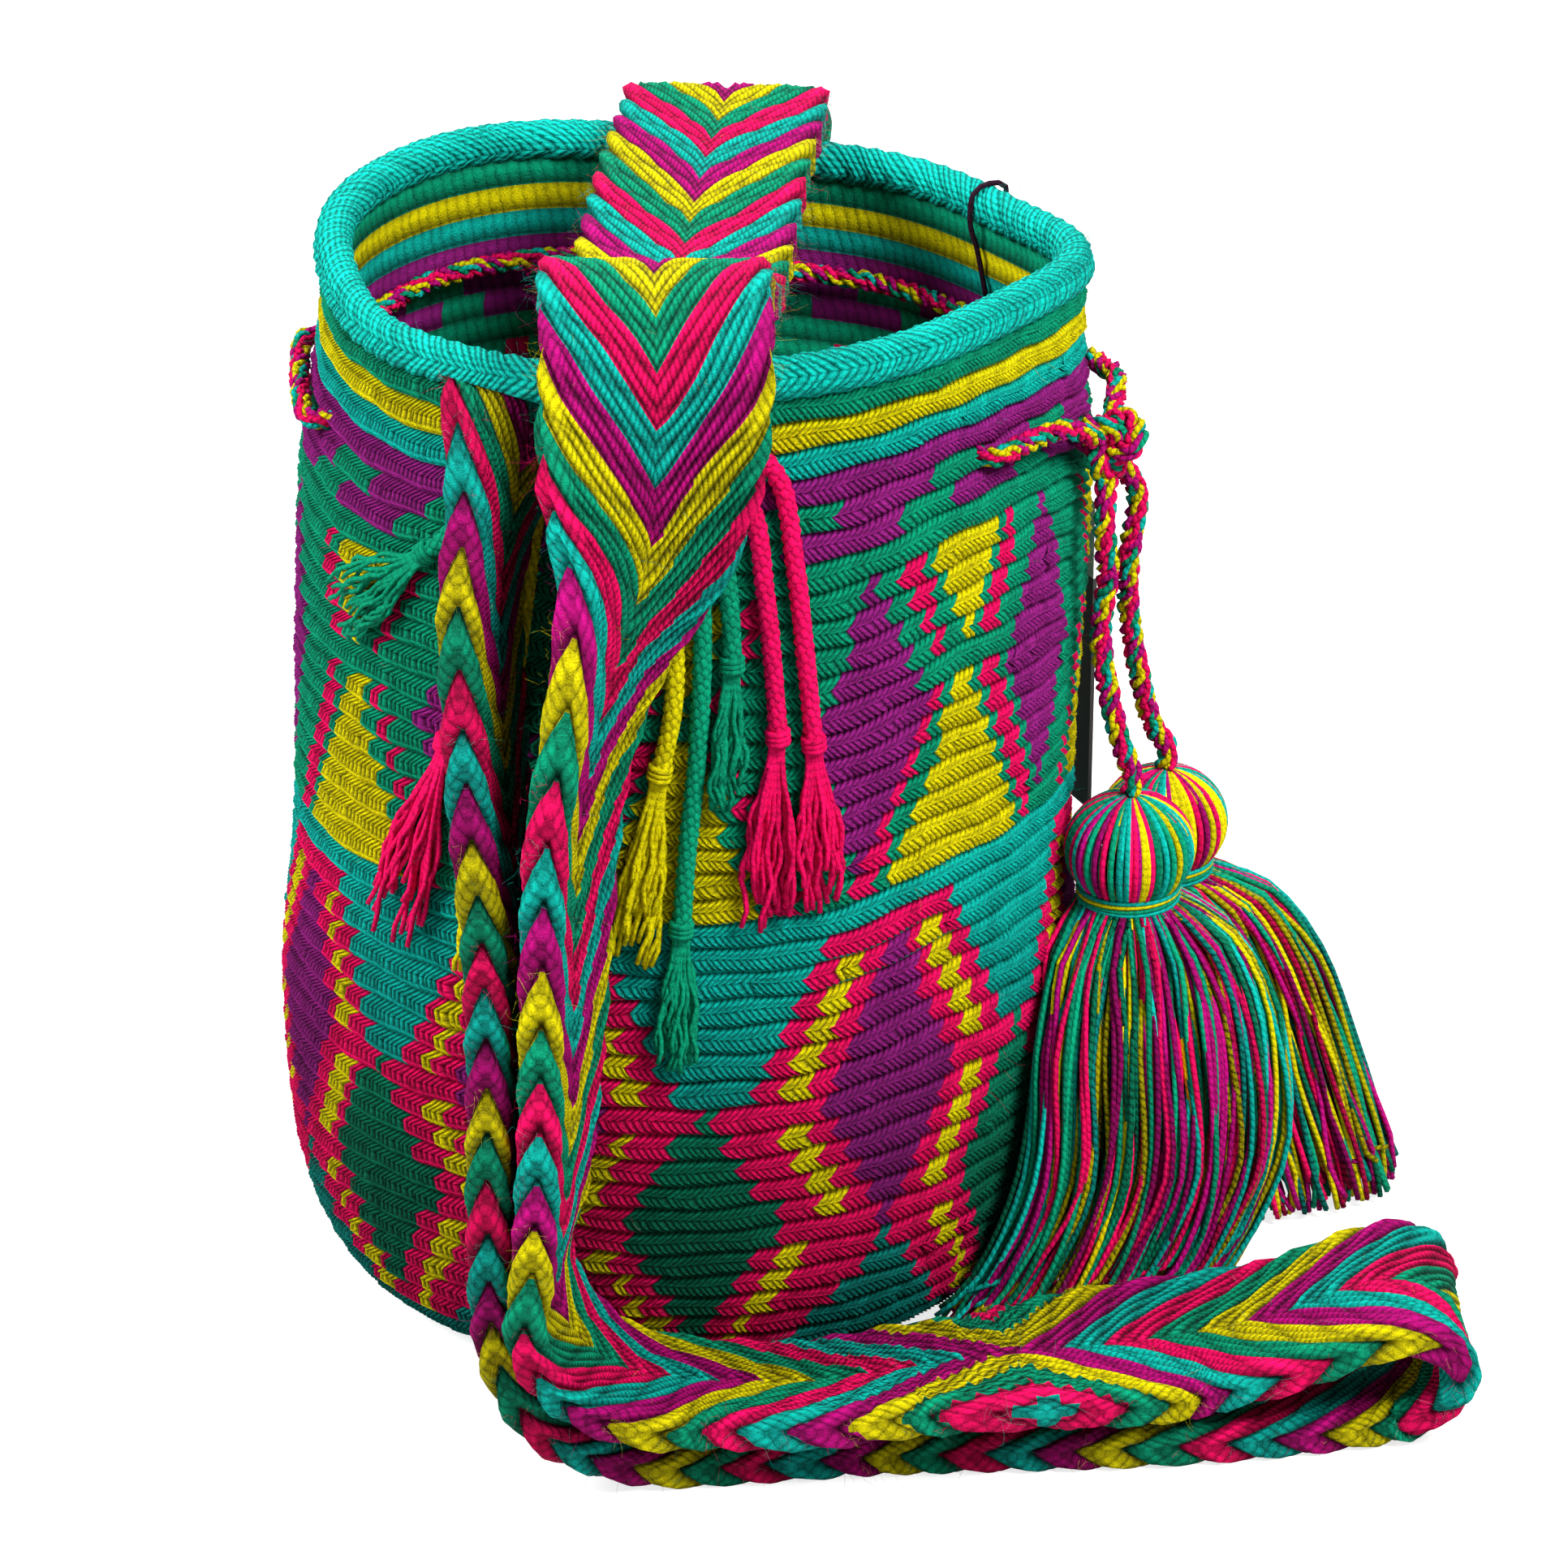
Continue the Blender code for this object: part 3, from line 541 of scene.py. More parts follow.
def crochet_band(name, first, last, *nodes):
    """Rows of stitches: a thick lower strand that slants one way under a thinner one that slants back."""
    shape = np.array([(row + share, *rest) for row in range(first, last) for share, *rest in ROW_SHAPE])
    shape = np.vstack((shape, (last, *ROW_SHAPE[0][1:])))
    place, stand, relief, slant = shape.T[:, :, None]
    columns = np.arange(STITCHES * STRAND_STEPS)
    strand = np.tile(STRAND_PROFILE, STITCHES)
    stitch = columns // STRAND_STEPS
    lift = chance.normal(0, 1, (len(shape) // len(ROW_SHAPE) + 1, STITCHES))
    lift = np.repeat(lift, len(ROW_SHAPE), axis=0)[: len(shape), stitch]
    azimuth = (columns / STRAND_STEPS + slant * (1 + 0.12 * lift)) * 360 / STITCHES - 180
    level = ROW_START + (place + unevenness(azimuth, place)) * ROW_PITCH
    points = wall_point(azimuth, level, stand + relief * (strand - 0.3) + lift * 0.00018 * (relief > 0.0004))
    hem = np.linspace(len(shape) - 1, 0, 5).astype(int)
    points = np.concatenate((points, wall_point(azimuth[hem], level[hem], -0.0030)))
    rows = np.floor(np.append(place[:-1, 0] + 0.001, (last - 1, *place[hem, 0] - 0.5)))
    rows = np.clip(rows, first, last - 1)
    centre = (stitch[None, :] + 0.5) * 360 / STITCHES - 180
    yarn = wall_yarn(*np.broadcast_arrays(rows[:, None], centre))
    odd = chance.random((ROWS + 1, STITCHES))
    # Painted shade: the yarn colours are darkened towards the bottom rows
    shade = 1 - (1 - ease(4, 20, rows))[:, None] * LOW_WALL_PAINTED_SHADE[yarn]
    odd = odd[rows.astype(int)][:, stitch]
    colour = np.concatenate((YARNS[yarn] * shade[:, :, None], odd[:, :, None]), axis=-1)
    down = np.append(place[:, 0], (*place[hem, 0], first))
    across = np.arange(STITCHES * STRAND_STEPS + 1) / STRAND_STEPS
    make_loop(name, WALL_YARN, points, grid(across, down[:, None]), colour, *nodes)


def make_loop(name, material, points, thread, colour, *nodes, turned_over=False):
    """One piece of the bag body from a grid that closes both ways."""
    weave = Weave()
    weave.add(points, thread, colour, True, turned_over)
    weave.make(name, material, *nodes, slot="bag_crochet")


# Azimuths of every second stitch
AZIMUTHS = np.arange(0, STITCHES, 2) * 360 / STITCHES - 180


def make_rings(name, material, rings, yarn, steps, turned_over=False):
    """One piece of the bag body from rings at every second stitch, a number of them to a round."""
    down = np.arange(len(rings) + 1)[:, None] / steps
    thread = grid(np.arange(0, STITCHES + 1, 2), down)
    make_loop(name, material, np.array(rings), thread, tinted(yarn), turned_over=turned_over)


def make_lining():
    """The inside of the wall and of the base, closed behind by a second skin."""
    rings, rows = [], []
    for k in range(2 * ROWS):
        uneven = 0.0004 if k % 2 else -0.0003
        rings.append(wall_point(AZIMUTHS, EDGING_LEVEL - (k / 2) * ROW_PITCH, -WALL + uneven))
        rows.append(ROWS - 1 - k // 2)
    for share in (0.94, 0.8, 0.6, 0.4, 0.2, 0.02):
        rings.append(wall_point(AZIMUTHS, 0.0, -WALL) * (share, share, 0) + (0, 0, BASE_THICKNESS))
    for share in (0.02, 0.9):
        rings.append(wall_point(AZIMUTHS, 0.0, -WALL + 0.002) * (share, share, 0) + (0, 0, 0.0035))
    for level in (0.03, 0.12, 0.3, 0.6, 0.8, EDGING_LEVEL):
        rings.append(wall_point(AZIMUTHS, level, -0.0031))
    rows += [0] * (len(rings) - len(rows))
    yarn = wall_yarn(*np.broadcast_arrays(np.array(rows)[:, None], AZIMUTHS))
    make_rings("lining", LINING_YARN, rings, yarn, 2)


# Rounds of the base, from its edge to its middle
BASE_ROUNDS = (
    *(TURQUOISE, TURQUOISE, PINK, PINK, YELLOW, PINK, PINK),
    *(GREEN, GREEN, YELLOW, PURPLE, PURPLE, PINK, PINK),
)


def make_base():
    """Underside of the base, worked in rounds from the middle."""
    steps = 4
    count = len(BASE_ROUNDS) * steps
    rim = wall_point(AZIMUTHS, ROW_START, -0.0012)
    rings = [rim * (0.93, 0.93, 1), rim]
    rows = [0, 0]
    for k in range(count):
        share = 1 - (k + 0.6) / count
        relief = 0.0012 * abs(sin(pi * k / steps))
        ring = wall_point(AZIMUTHS, 0.0, 0.003) * (share, share, 0)
        rings.append(ring + (0, 0, 0.0018 - relief))
        rows.append(k // steps)
    rings.append(rings[-1] + (0, 0, 0.001))
    rows.append(0)
    yarn = np.repeat(np.array(BASE_ROUNDS)[rows, None], len(AZIMUTHS), axis=1)
    make_rings("base_rounds", WALL_YARN, rings, yarn, steps, turned_over=True)


def make_edging():
    """Thick rounded band around the mouth, in lobes that point along its middle."""
    lobes = 86
    columns = lobes * 9
    sides = 20
    azimuth = np.arange(columns)[None, :] * 360 / columns - 180
    turn = (2 * pi * np.arange(sides) / sides)[:, None]
    from_middle = np.abs((turn - 0.25 + pi) % (2 * pi) - pi)
    phase = azimuth * lobes / 360 + 0.75 * from_middle
    phase = phase + 0.12 * np.sin(np.radians(azimuth) * 17) + 0.08 * np.sin(np.radians(azimuth) * 29)
    part = phase % 1
    lobe = np.sqrt(np.clip(1 - (2 * part - 1) ** 2, 0, 1))
    groove = np.exp(-((from_middle / 0.3) ** 2))
    swell = 0.0005 * np.sin(np.radians(azimuth) * 9) * np.cos(turn)
    radius = 0.0040 + 0.0016 * lobe + 0.0003 * np.abs(np.sin(3 * pi * phase)) - 0.0010 * groove + swell
    out = -WALL / 2 + radius * np.cos(turn)
    rise = radius * np.sin(turn) * 1.02
    at_edge = wall_point(azimuth, EDGING_LEVEL, out)
    points = at_edge + np.stack((0 * rise, 0 * rise, rise + EDGING_HEIGHT * 0.5), axis=-1)
    odd = chance.random(lobes + 2)[np.floor(phase + lobes / 2).astype(int) % lobes]
    yarn = np.broadcast_to(YARNS[TURQUOISE], (sides, columns, 3))
    colour = np.concatenate((yarn, odd[:, :, None]), axis=-1)
    along = np.vstack((phase, phase[:1]))
    along = np.hstack((along, along[:, :1] + lobes))
    around = (np.arange(sides + 1) / sides * 3)[:, None]
    make_loop("rim_edging", EDGING_YARN, points, grid(along, around), colour)


# Strap, with the stations of the model

STRAP_WIDTH = 0.058
STRAP_THICKNESS = 0.009
# Half width of its flat faces
FLAT = STRAP_WIDTH / 2 - STRAP_THICKNESS / 2


def over_mouth(x, share, rise):
    return (x, share * RIM_RADIUS, BAG_HEIGHT + rise)


def on_ground(x, clear, layer):
    return (x, -FOOT_RADIUS - clear, layer * STRAP_THICKNESS)


def stations(place, *rows):
    """Stations of the strap: three numbers for the place, the way to its right, width share and curl."""
    return [np.array((*place(*row[:3]), *row[3:6], *(row[6:] or (1.0, 0.0)))) for row in rows]


STRAP_STATIONS = stations(
    wall_point,
    (84.8, 0.773, 0.0074, 1, -0.04, 0, 1.0, -0.19),
    (85.4, 0.873, 0.0085, 1, -0.1, 0, 1.0, -0.09),
    (86.5, 0.959, 0.0114, 1, -0.1, 0, 1.0, -0.05),
)
STRAP_STATIONS += stations(
    over_mouth,
    (0.015, 0.995, 0.0082, 1, -0.08, 0, 1.0, -0.06),
    (0.014, 0.812, 0.009, 1, -0.05, 0, 1.0, -0.05),
    (0.009, 0.396, 0.0055, 1, -0.07, 0),
    (0.004, -0.15, -0.0015, 1, -0.07, 0),
    (0.001, -0.55, 0.004, 1, -0.07, 0),
    (-0.001, -0.86, 0.0205, 1, -0.05, 0),
    (-0.001, -1.069, 0.0265, 1, 0, 0),
    (0.000, -1.238, 0.015, 1, 0, 0, 1.0, 0.05),
)
STRAP_STATIONS += stations(
    wall_point,
    (-94.7, 0.977, 0.0309, 0.97, 0.2, 0, 1.0, 0.1),
    (-95.5, 0.884, 0.033, 0.74, 0.67, 0, 1.0, 0.2),
    (-99.0, 0.784, 0.0355, 0.42, 0.9, 0, 1.0, 0.3),
    (-101.6, 0.667, 0.0375, 0.29, 0.96, 0, 1.0, 0.3),
    (-102.0, 0.533, 0.039, 0.23, 0.97, 0, 1.0, 0.25),
    (-101.8, 0.4, 0.0385, 0.19, 0.98, 0, 1.0, 0.15),
    (-102.5, 0.267, 0.0365, 0.15, 0.99, 0, 1.0, 0.1),
)
STRAP_STATIONS += stations(
    on_ground,
    (-0.033, 0.0545, 6.4, 0.1, 1, 0),
    (-0.0265, 0.051, 4.4, 0.05, 1, 0, 0.98, 0.0),
    (-0.012, 0.048, 2.9, 0, 1, -0.05, 0.92, 0.0),
    (0.008, 0.0435, 2.15, 0, 1, -0.1, 0.87, 0.0),
    (0.038, 0.043, 2.05, 0, 1, -0.12, 0.9, 0.0),
    (0.066, 0.0405, 2.4, 0, 1, -0.1, 0.92, 0.0),
    (0.093, 0.039, 2.75, 0, 1, -0.08, 0.96, -0.1),
    (0.136, 0.024, 2.4, 0, 1, 0.04),
    (0.166, 0.023, 3.1, 0, 1, 0),
    (0.192, 0.022, 4.2, 0, 1, 0),
    (0.2065, 0.019, 3.9, 0, 1, 0),
    (0.2125, 0.015, 2.6, 0, 1, 0),
    (0.2065, 0.0125, 1.2, 0, 1, 0),
    (0.19, 0.012, 0.56, 0, 1, 0),
    (0.135, 0.0215, 0.54, 0, 1, 0),
    (0.06, 0.0275, 0.54, 0, 1, 0, 0.95, 0.0),
    (0.03, 0.033, 0.54, 0, 1, 0, 0.88, 0.0),
    (0.0000, 0.037, 0.6, 0, 1, 0, 0.86, 0.0),
    (-0.02, 0.0405, 1.45, 0, 1, 0, 0.92, 0.0),
    (-0.0345, 0.0445, 2.9, 0, 1, 0, 0.97, 0.0),
)
STRAP_STATIONS += stations(
    wall_point,
    (-107.6, 0.173, 0.0325, 0.05, 1, 0),
    (-107.8, 0.3, 0.0345, 0.07, 1, 0),
    (-107.8, 0.433, 0.0375, 0.09, 1, 0),
    (-108.4, 0.567, 0.0375, 0.11, 0.99, 0),
    (-110.2, 0.701, 0.037, 0.13, 0.99, 0),
    (-112.0, 0.838, 0.0355, 0.18, 0.98, 0, 0.95, 0.05),
    (-112.0, 0.93, 0.032, 0.36, 0.93, 0, 0.88, 0.1),
    (-111.0, 1.000, 0.0235, 0.82, 0.57, 0, 0.8, 0.15),
)
# The fold that lies uppermost on the ground is the middle of the strap
MIDDLE_STATION = 24
STRAP_PIECES = 16
# Number of cords before their random differences repeat
STRAP_CORDS = 4000
STRIPE_PITCH = 0.0135
STRIPE_LEAD = 1.45
EDGE_LEAD = 0.7
# Stripes by which the front run and the return run of the strap drift
FRONT_DRIFT = -2.1
RETURN_DRIFT = 1.1
# Painted shade: how much darker the return run is painted, for the shade that it lies in
RETURN_RUN_PAINTED_SHADE = 0.3


def strap_route():
    """Distance along the strap, and centre, right, face, width share and curl at each sample."""
    samples = curve(STRAP_STATIONS, [STRAP_PIECES] * (len(STRAP_STATIONS) - 1))
    centre = samples[:, :3]
    along = distances(centre)
    travel = unit(np.gradient(centre, axis=0))
    right = samples[:, 3:6]
    right = unit(right - travel * (right * travel).sum(axis=1, keepdims=True))
    face = -np.cross(right, travel)
    return along - along[STRAP_PIECES * MIDDLE_STATION], np.hstack((centre, right, face, samples[:, 6:8]))


def strap_at(place, along, route):
    """Values of the route at a place or an array of places."""
    return np.stack([np.interp(place, along, values) for values in route.T], axis=-1)


def strap_section():
    """Around the strap: place across and through, way out, and distance from the middle line of a face."""
    thick = STRAP_THICKNESS / 2
    section = [(across, thick, 0, 1, abs(across)) for across in np.linspace(-FLAT, FLAT, 21)[:-1]]
    for turn in np.linspace(pi / 2, -pi / 2, 8)[:-1]:
        arc = FLAT + thick * (pi / 2 - abs(turn))
        section.append((FLAT + thick * cos(turn), thick * sin(turn), cos(turn), sin(turn), arc))
    section = np.array(section)
    return np.concatenate((section, section * (-1, -1, -1, -1, 1)))


def strap_lead(arc):
    """How far a stripe runs along the strap by a distance from the middle line."""
    return STRIPE_LEAD * arc + EDGE_LEAD * np.maximum(arc - FLAT, 0)


def stripe_drift(place):
    """Stripes that uneven tension adds or takes away along the strap."""
    return np.where(place < 0, FRONT_DRIFT, RETURN_DRIFT) * ease(0.20, 0.40, np.abs(place))


def make_strap():
    """Cords that cross the strap slantwise, point to its middle and plait at its edges."""
    along, route = strap_route()
    section = strap_section()
    low, high = along[0], along[-1]
    steps = 4 * STRIPE_CORDS
    lines = np.arange(low, high + 0.05, STRIPE_PITCH / steps)
    slope = np.clip(lines / 0.05, -1, 1)[:, None]
    across, through, out_across, out_through, arc = section.T[:, None]
    lead = strap_lead(arc)
    lines = lines[:, None] - STRIPE_LEAD * 0.035 * np.clip(slope, 0, 1)
    ideal = lines + slope * lead
    wobble = 0.0007 * np.sin(130 * lines + 160 * across) + 0.0004 * np.sin(410 * lines - 300 * across)
    place = np.clip(ideal + wobble, low, high)
    at = strap_at(place, along, route)
    centre, right, face = at[..., 0:3], at[..., 3:6], at[..., 6:9]
    share, curl = at[..., 9], at[..., 10]
    phase = (np.abs(ideal) - lead) / STRIPE_PITCH + stripe_drift(ideal)
    at_edge = ease(FLAT - 0.003, FLAT + 0.002, arc)
    cords = np.sqrt(np.abs(np.sin(pi * STRIPE_CORDS * phase)) + 0.02)
    leaf = np.sqrt(np.abs(np.sin(pi * phase)) + 0.02)
    loops = arc * STRAP_THREAD * STRAP_LOOPS[0] + phase * STRIPE_CORDS * STRAP_LOOPS[1]
    cords = cords * (0.45 + 0.55 * np.abs(np.sin(pi * loops)) ** 0.5)
    seam = 1 - np.exp(-((arc / 0.0016) ** 2))
    fold = np.exp(-(((arc - FLAT - STRAP_THICKNESS * pi / 4) / 0.0016) ** 2)) * at_edge
    relief = (1 - at_edge) * (0.0020 * cords * seam - 0.0010)
    relief += at_edge * (0.0005 * cords + 0.0032 * leaf - 0.0030 * fold - 0.0016)
    half = (across + out_across * relief) * share
    depth = through + out_through * relief
    turn = curl * across / (STRAP_WIDTH / 2)
    safe = np.where(np.abs(turn) > 1e-4, turn, 1e-4)
    level = half * (1 - np.cos(safe)) / safe
    reach = half * np.sin(safe) / safe
    points = centre + right * reach[..., None] + face * level[..., None]
    points += turned(turn, face, -right) * depth[..., None]
    yarn = np.floor(phase[:-1] + 0.5 / steps).astype(int) % 5
    odd = chance.random(STRAP_CORDS)
    which = np.floor((phase[:-1] + 0.5 / steps) * STRIPE_CORDS) * 2 + (across > 0)
    which = which.astype(int) % STRAP_CORDS
    # Painted shade: the colour of the return run is darkened
    shade = 1 - RETURN_RUN_PAINTED_SHADE * ease(0.14, 0.26, ideal[:-1, :, None])
    colour = np.concatenate((YARNS[yarn] * shade, odd[which][..., None]), axis=-1)
    wide = np.concatenate((arc, arc[:, :1]), axis=1) * STRAP_THREAD
    turns = np.concatenate((phase, phase[:, :1]), axis=1) * STRIPE_CORDS
    weave = Weave()
    weave.add(points, grid(wide, turns), colour, turned_over=True)
    weave.make("woven_strap", STRAP_YARN, "shoulder_strap", slot="strap_weave")


# Drawstring, knot and tassel cords, with the routes of the model


DRAWSTRING_RADIUS = 0.003
PLIES_LIFT = 0.0003
EYELETS = (-43, -164, -196, -348)
EYELET_SLANT = 2.0
DRAWSTRING_LEVEL = 0.875
KNOT_RADIUS = 0.0095
TASSEL_CORD_RADIUS = 0.0032
HEAD_RADIUS = 0.018
HEAD_FLATNESS = 0.9
NECK_RADIUS = 0.0135
TIE_RADIUS = 0.0015
GAP = 0.0005
INSIDE = -WALL - DRAWSTRING_RADIUS - 0.0014
OUTSIDE = DRAWSTRING_RADIUS + 0.0014
IN_WALL = -WALL / 2
KNOT = wall_point(-15.5, 0.846, KNOT_RADIUS + 0.0012)
FRONT_TAIL = (
    (-0.001, -0.006, -0.022),
    (0.0005, -0.003, -0.038),
    (-0.001, -0.002, -0.054),
    (0.0015, -0.002, -0.072),
    (0.005, -0.002, -0.087),
)
BACK_TAIL = (
    (0.009, 0.011, -0.02),
    (0.007, 0.012, -0.038),
    (0.008, 0.019, -0.058),
    (0.012, 0.025, -0.08),
    (0.016, 0.03, -0.096),
)
FRONT_HEAD = wall_point(-14.5, 0.45, HEAD_RADIUS + 0.0015)
BACK_HEAD = FRONT_HEAD + (0.0120, 0.0350, -0.0080)


def meet(centre, radius, towards):
    """The point just off a ball, on the way to another point."""
    return centre + unit(towards - centre) * (radius + GAP)


def through_eyelet(azimuth, start, end):
    return [(azimuth + EYELET_SLANT, start), (azimuth, IN_WALL), (azimuth - EYELET_SLANT, end)]


def along_inside(start, end):
    start, end = start - 8, end + 8
    count = max(1, round((start - end) / 20))
    return [(start + (end - start) * k / count, INSIDE) for k in range(count + 1)]


def drawstring_route():
    near_front, left_front, left_back, near_back = EYELETS
    left = (left_front + left_back) / 2
    stops = [(near_front + 17, 0.0085), (near_front + 9, OUTSIDE)]
    stops += through_eyelet(near_front, OUTSIDE, INSIDE)
    stops += along_inside(near_front, left_front)
    stops += through_eyelet(left_front, INSIDE, OUTSIDE)
    stops += [(left + 7, OUTSIDE), (left - 7, OUTSIDE)]
    stops += through_eyelet(left_back, OUTSIDE, INSIDE)
    stops += along_inside(left_back, near_back)
    stops += through_eyelet(near_back, INSIDE, OUTSIDE)
    stops += [(near_back - 7, 0.0055), (near_back - 12, 0.0085)]
    route = [wall_point(azimuth, DRAWSTRING_LEVEL, stand_off) for azimuth, stand_off in stops]
    first, last = (meet(KNOT, KNOT_RADIUS - 0.004, stop) for stop in (route[0], route[-1]))
    return [first, *route, last]


def make_drawstring():
    weave = Weave()
    add_twine(weave, smooth_path(drawstring_route(), 0.0014), DRAWSTRING_RADIUS + PLIES_LIFT)
    weave.make("drawstring_cord", CORD_YARN, "drawstring", slot="drawstring_yarn")

    turn = np.linspace(0, 2 * pi, 181)[:-1]
    x = np.sin(turn) + 2 * np.sin(2 * turn)
    z = np.cos(turn) - 2 * np.cos(2 * turn)
    loop = np.stack((x, -1.1 * np.sin(3 * turn), z), axis=1)
    weave = Weave()
    add_twine(weave, KNOT + loop * 0.0027, 0.0037)
    weave.make("knot_loops", CORD_YARN, "drawstring_knot", slot="knot_yarn")


def tail_route(tail, head):
    points = [KNOT + np.array(point) for point in tail]
    points.insert(0, meet(KNOT, KNOT_RADIUS, points[0]))
    top = head + np.array((0, 0, HEAD_RADIUS * HEAD_FLATNESS + GAP))
    return [*points, top + (0, 0, 2 * TASSEL_CORD_RADIUS), top]


def make_tail(name, tail, head):
    route = tail_route(tail, head)
    path = smooth_path(route, 0.0010)
    weave = Weave()
    add_twine(weave, path, TASSEL_CORD_RADIUS + PLIES_LIFT)
    piece = weave.make("tail_" + name, CORD_YARN, "tassel_cord_" + name, slot="drawstring_yarn")


# Tassels


FRONT_SKIRT = (
    (0.9, 0.0045, -0.007, 0.0275, 0.015),
    (0.72, 0.008, -0.0165, 0.037, 0.016),
    (0.42, 0.009, -0.0225, 0.0405, 0.0165),
    (0.17, -0.001, -0.0235, 0.043, 0.0165),
    (0.01, -0.012, -0.024, 0.044, 0.0165),
)
BACK_SKIRT = (
    (0.9, 0.006, 0.003, 0.026, 0.015),
    (0.7, 0.015, 0.007, 0.033, 0.017),
    (0.41, 0.024, 0.009, 0.037, 0.018),
    (0.14, 0.032, 0.009, 0.039, 0.018),
    (0.01, 0.035, 0.009, 0.04, 0.017),
)
SKIRT_THREADS = 420
HEAD_THREADS = 86
LOWEST_THREAD = 0.0012
YARN_SHARES = (0.19, 0.16, 0.24, 0.20, 0.21)


def oval(centre, half_length, half_depth, turn, angle):
    """A point on a level oval whose long axis is turned from +X."""
    along = np.array((cos(turn), sin(turn), 0)) * half_length * cos(angle - turn)
    across = np.array((-sin(turn), cos(turn), 0)) * half_depth * sin(angle - turn)
    return centre + along + across


def mixed_yarns(count):
    """Yarns of a number of threads, now and then the same twice."""
    yarns = [PINK]
    while len(yarns) < count:
        another = chance.choice(5, p=YARN_SHARES)
        yarns.append(yarns[-1] if chance.random() < 0.2 else int(another))
    return np.array(yarns)


def make_tassel(name, head, skirt, turn):
    """Threads folded over the cord: a head with upright threads, a wound neck and a skirt."""
    turn = radians(turn)
    neck_tilt = -acos(NECK_RADIUS / HEAD_RADIUS)
    tilts = np.linspace(1.5, neck_tilt - 0.1, 15)
    flat = HEAD_FLATNESS
    slot = f"tassel_{name}_yarn"
    weave = Weave()
    for k, yarn in enumerate(mixed_yarns(HEAD_THREADS)):
        lean = 2 * pi * k / HEAD_THREADS + 0.048 * np.sin(3 * k) * np.cos(tilts)
        radius = HEAD_RADIUS * (0.955 + 0.012 * (k % 2))
        x, y = np.cos(tilts) * np.cos(lean), np.cos(tilts) * np.sin(lean)
        path = head + np.stack((x, y, flat * np.sin(tilts)), axis=1) * radius
        add_thread(weave, path, 0.00095, yarn, 6)
    weave.make(f"tassel_large_{name}_head", HEAD_YARN, slot=slot)

    weave = Weave()
    neck_z = head[2] + HEAD_RADIUS * flat * sin(neck_tilt)
    neck_end = neck_z - 2.6 * TIE_RADIUS
    yarns = mixed_yarns(SKIRT_THREADS)[chance.permutation(SKIRT_THREADS)]
    for k in range(SKIRT_THREADS):
        angle = 2 * pi * 3 * (k + 0.5 * chance.random()) / SKIRT_THREADS
        share = (1.0, 0.9, 0.7)[3 * k // SKIRT_THREADS] - 0.08 * chance.random()
        swing = chance.normal(0, 0.06)
        path = []
        for level in (neck_z, neck_end):
            path.append(oval((*head[:2], level), NECK_RADIUS * share, NECK_RADIUS * share, 0, angle))
        short = max(0.0, chance.normal(0.02, 0.06))
        for part, x, y, half_length, half_depth in skirt:
            part = max(part, short)
            wave = chance.normal(0, 0.0012, 3) * (1, 1, 0)
            centre = (head[0] + x, head[1] + y, neck_end * part + 0.001)
            point = oval(centre, half_length * share, half_depth * share, turn, angle + swing)
            path.append(point + wave)
            if part == short:
                break
        path = smooth_path(path, 0.009)
        path[:, 2] = np.maximum(path[:, 2], LOWEST_THREAD)
        add_thread(weave, path, 0.00086, yarns[k], 4)
    weave.make("tassel_large_" + name, SKIRT_YARN, "tassel_" + name, slot=slot)

    weave = Weave()
    around = np.linspace(0, 2 * pi, 49)[:-1]
    ring = outward(np.degrees(around)) * (NECK_RADIUS + 0.0006)
    for k, yarn in enumerate((TURQUOISE, GREEN, YELLOW, TURQUOISE)):
        path = ring + (*head[:2], (neck_z + neck_end) / 2 + (k - 1.5) * 0.00085)
        path[:, 2] += 0.0005 * np.sin(around + k)
        add_ring(weave, path, 0.0006, yarn, 1.8)
    weave.make(f"tassel_large_{name}_tie", THREAD_YARN, "tassel_tie_" + name, slot=f"tie_{name}_yarn")


# Cord ends of the strap, with the routes of the model


FRINGE_RADIUS = 0.0022
FRINGE_CLEARANCE = 0.0011
FRINGE_DEPTH = 0.0035
FRINGE_THREADS = 30
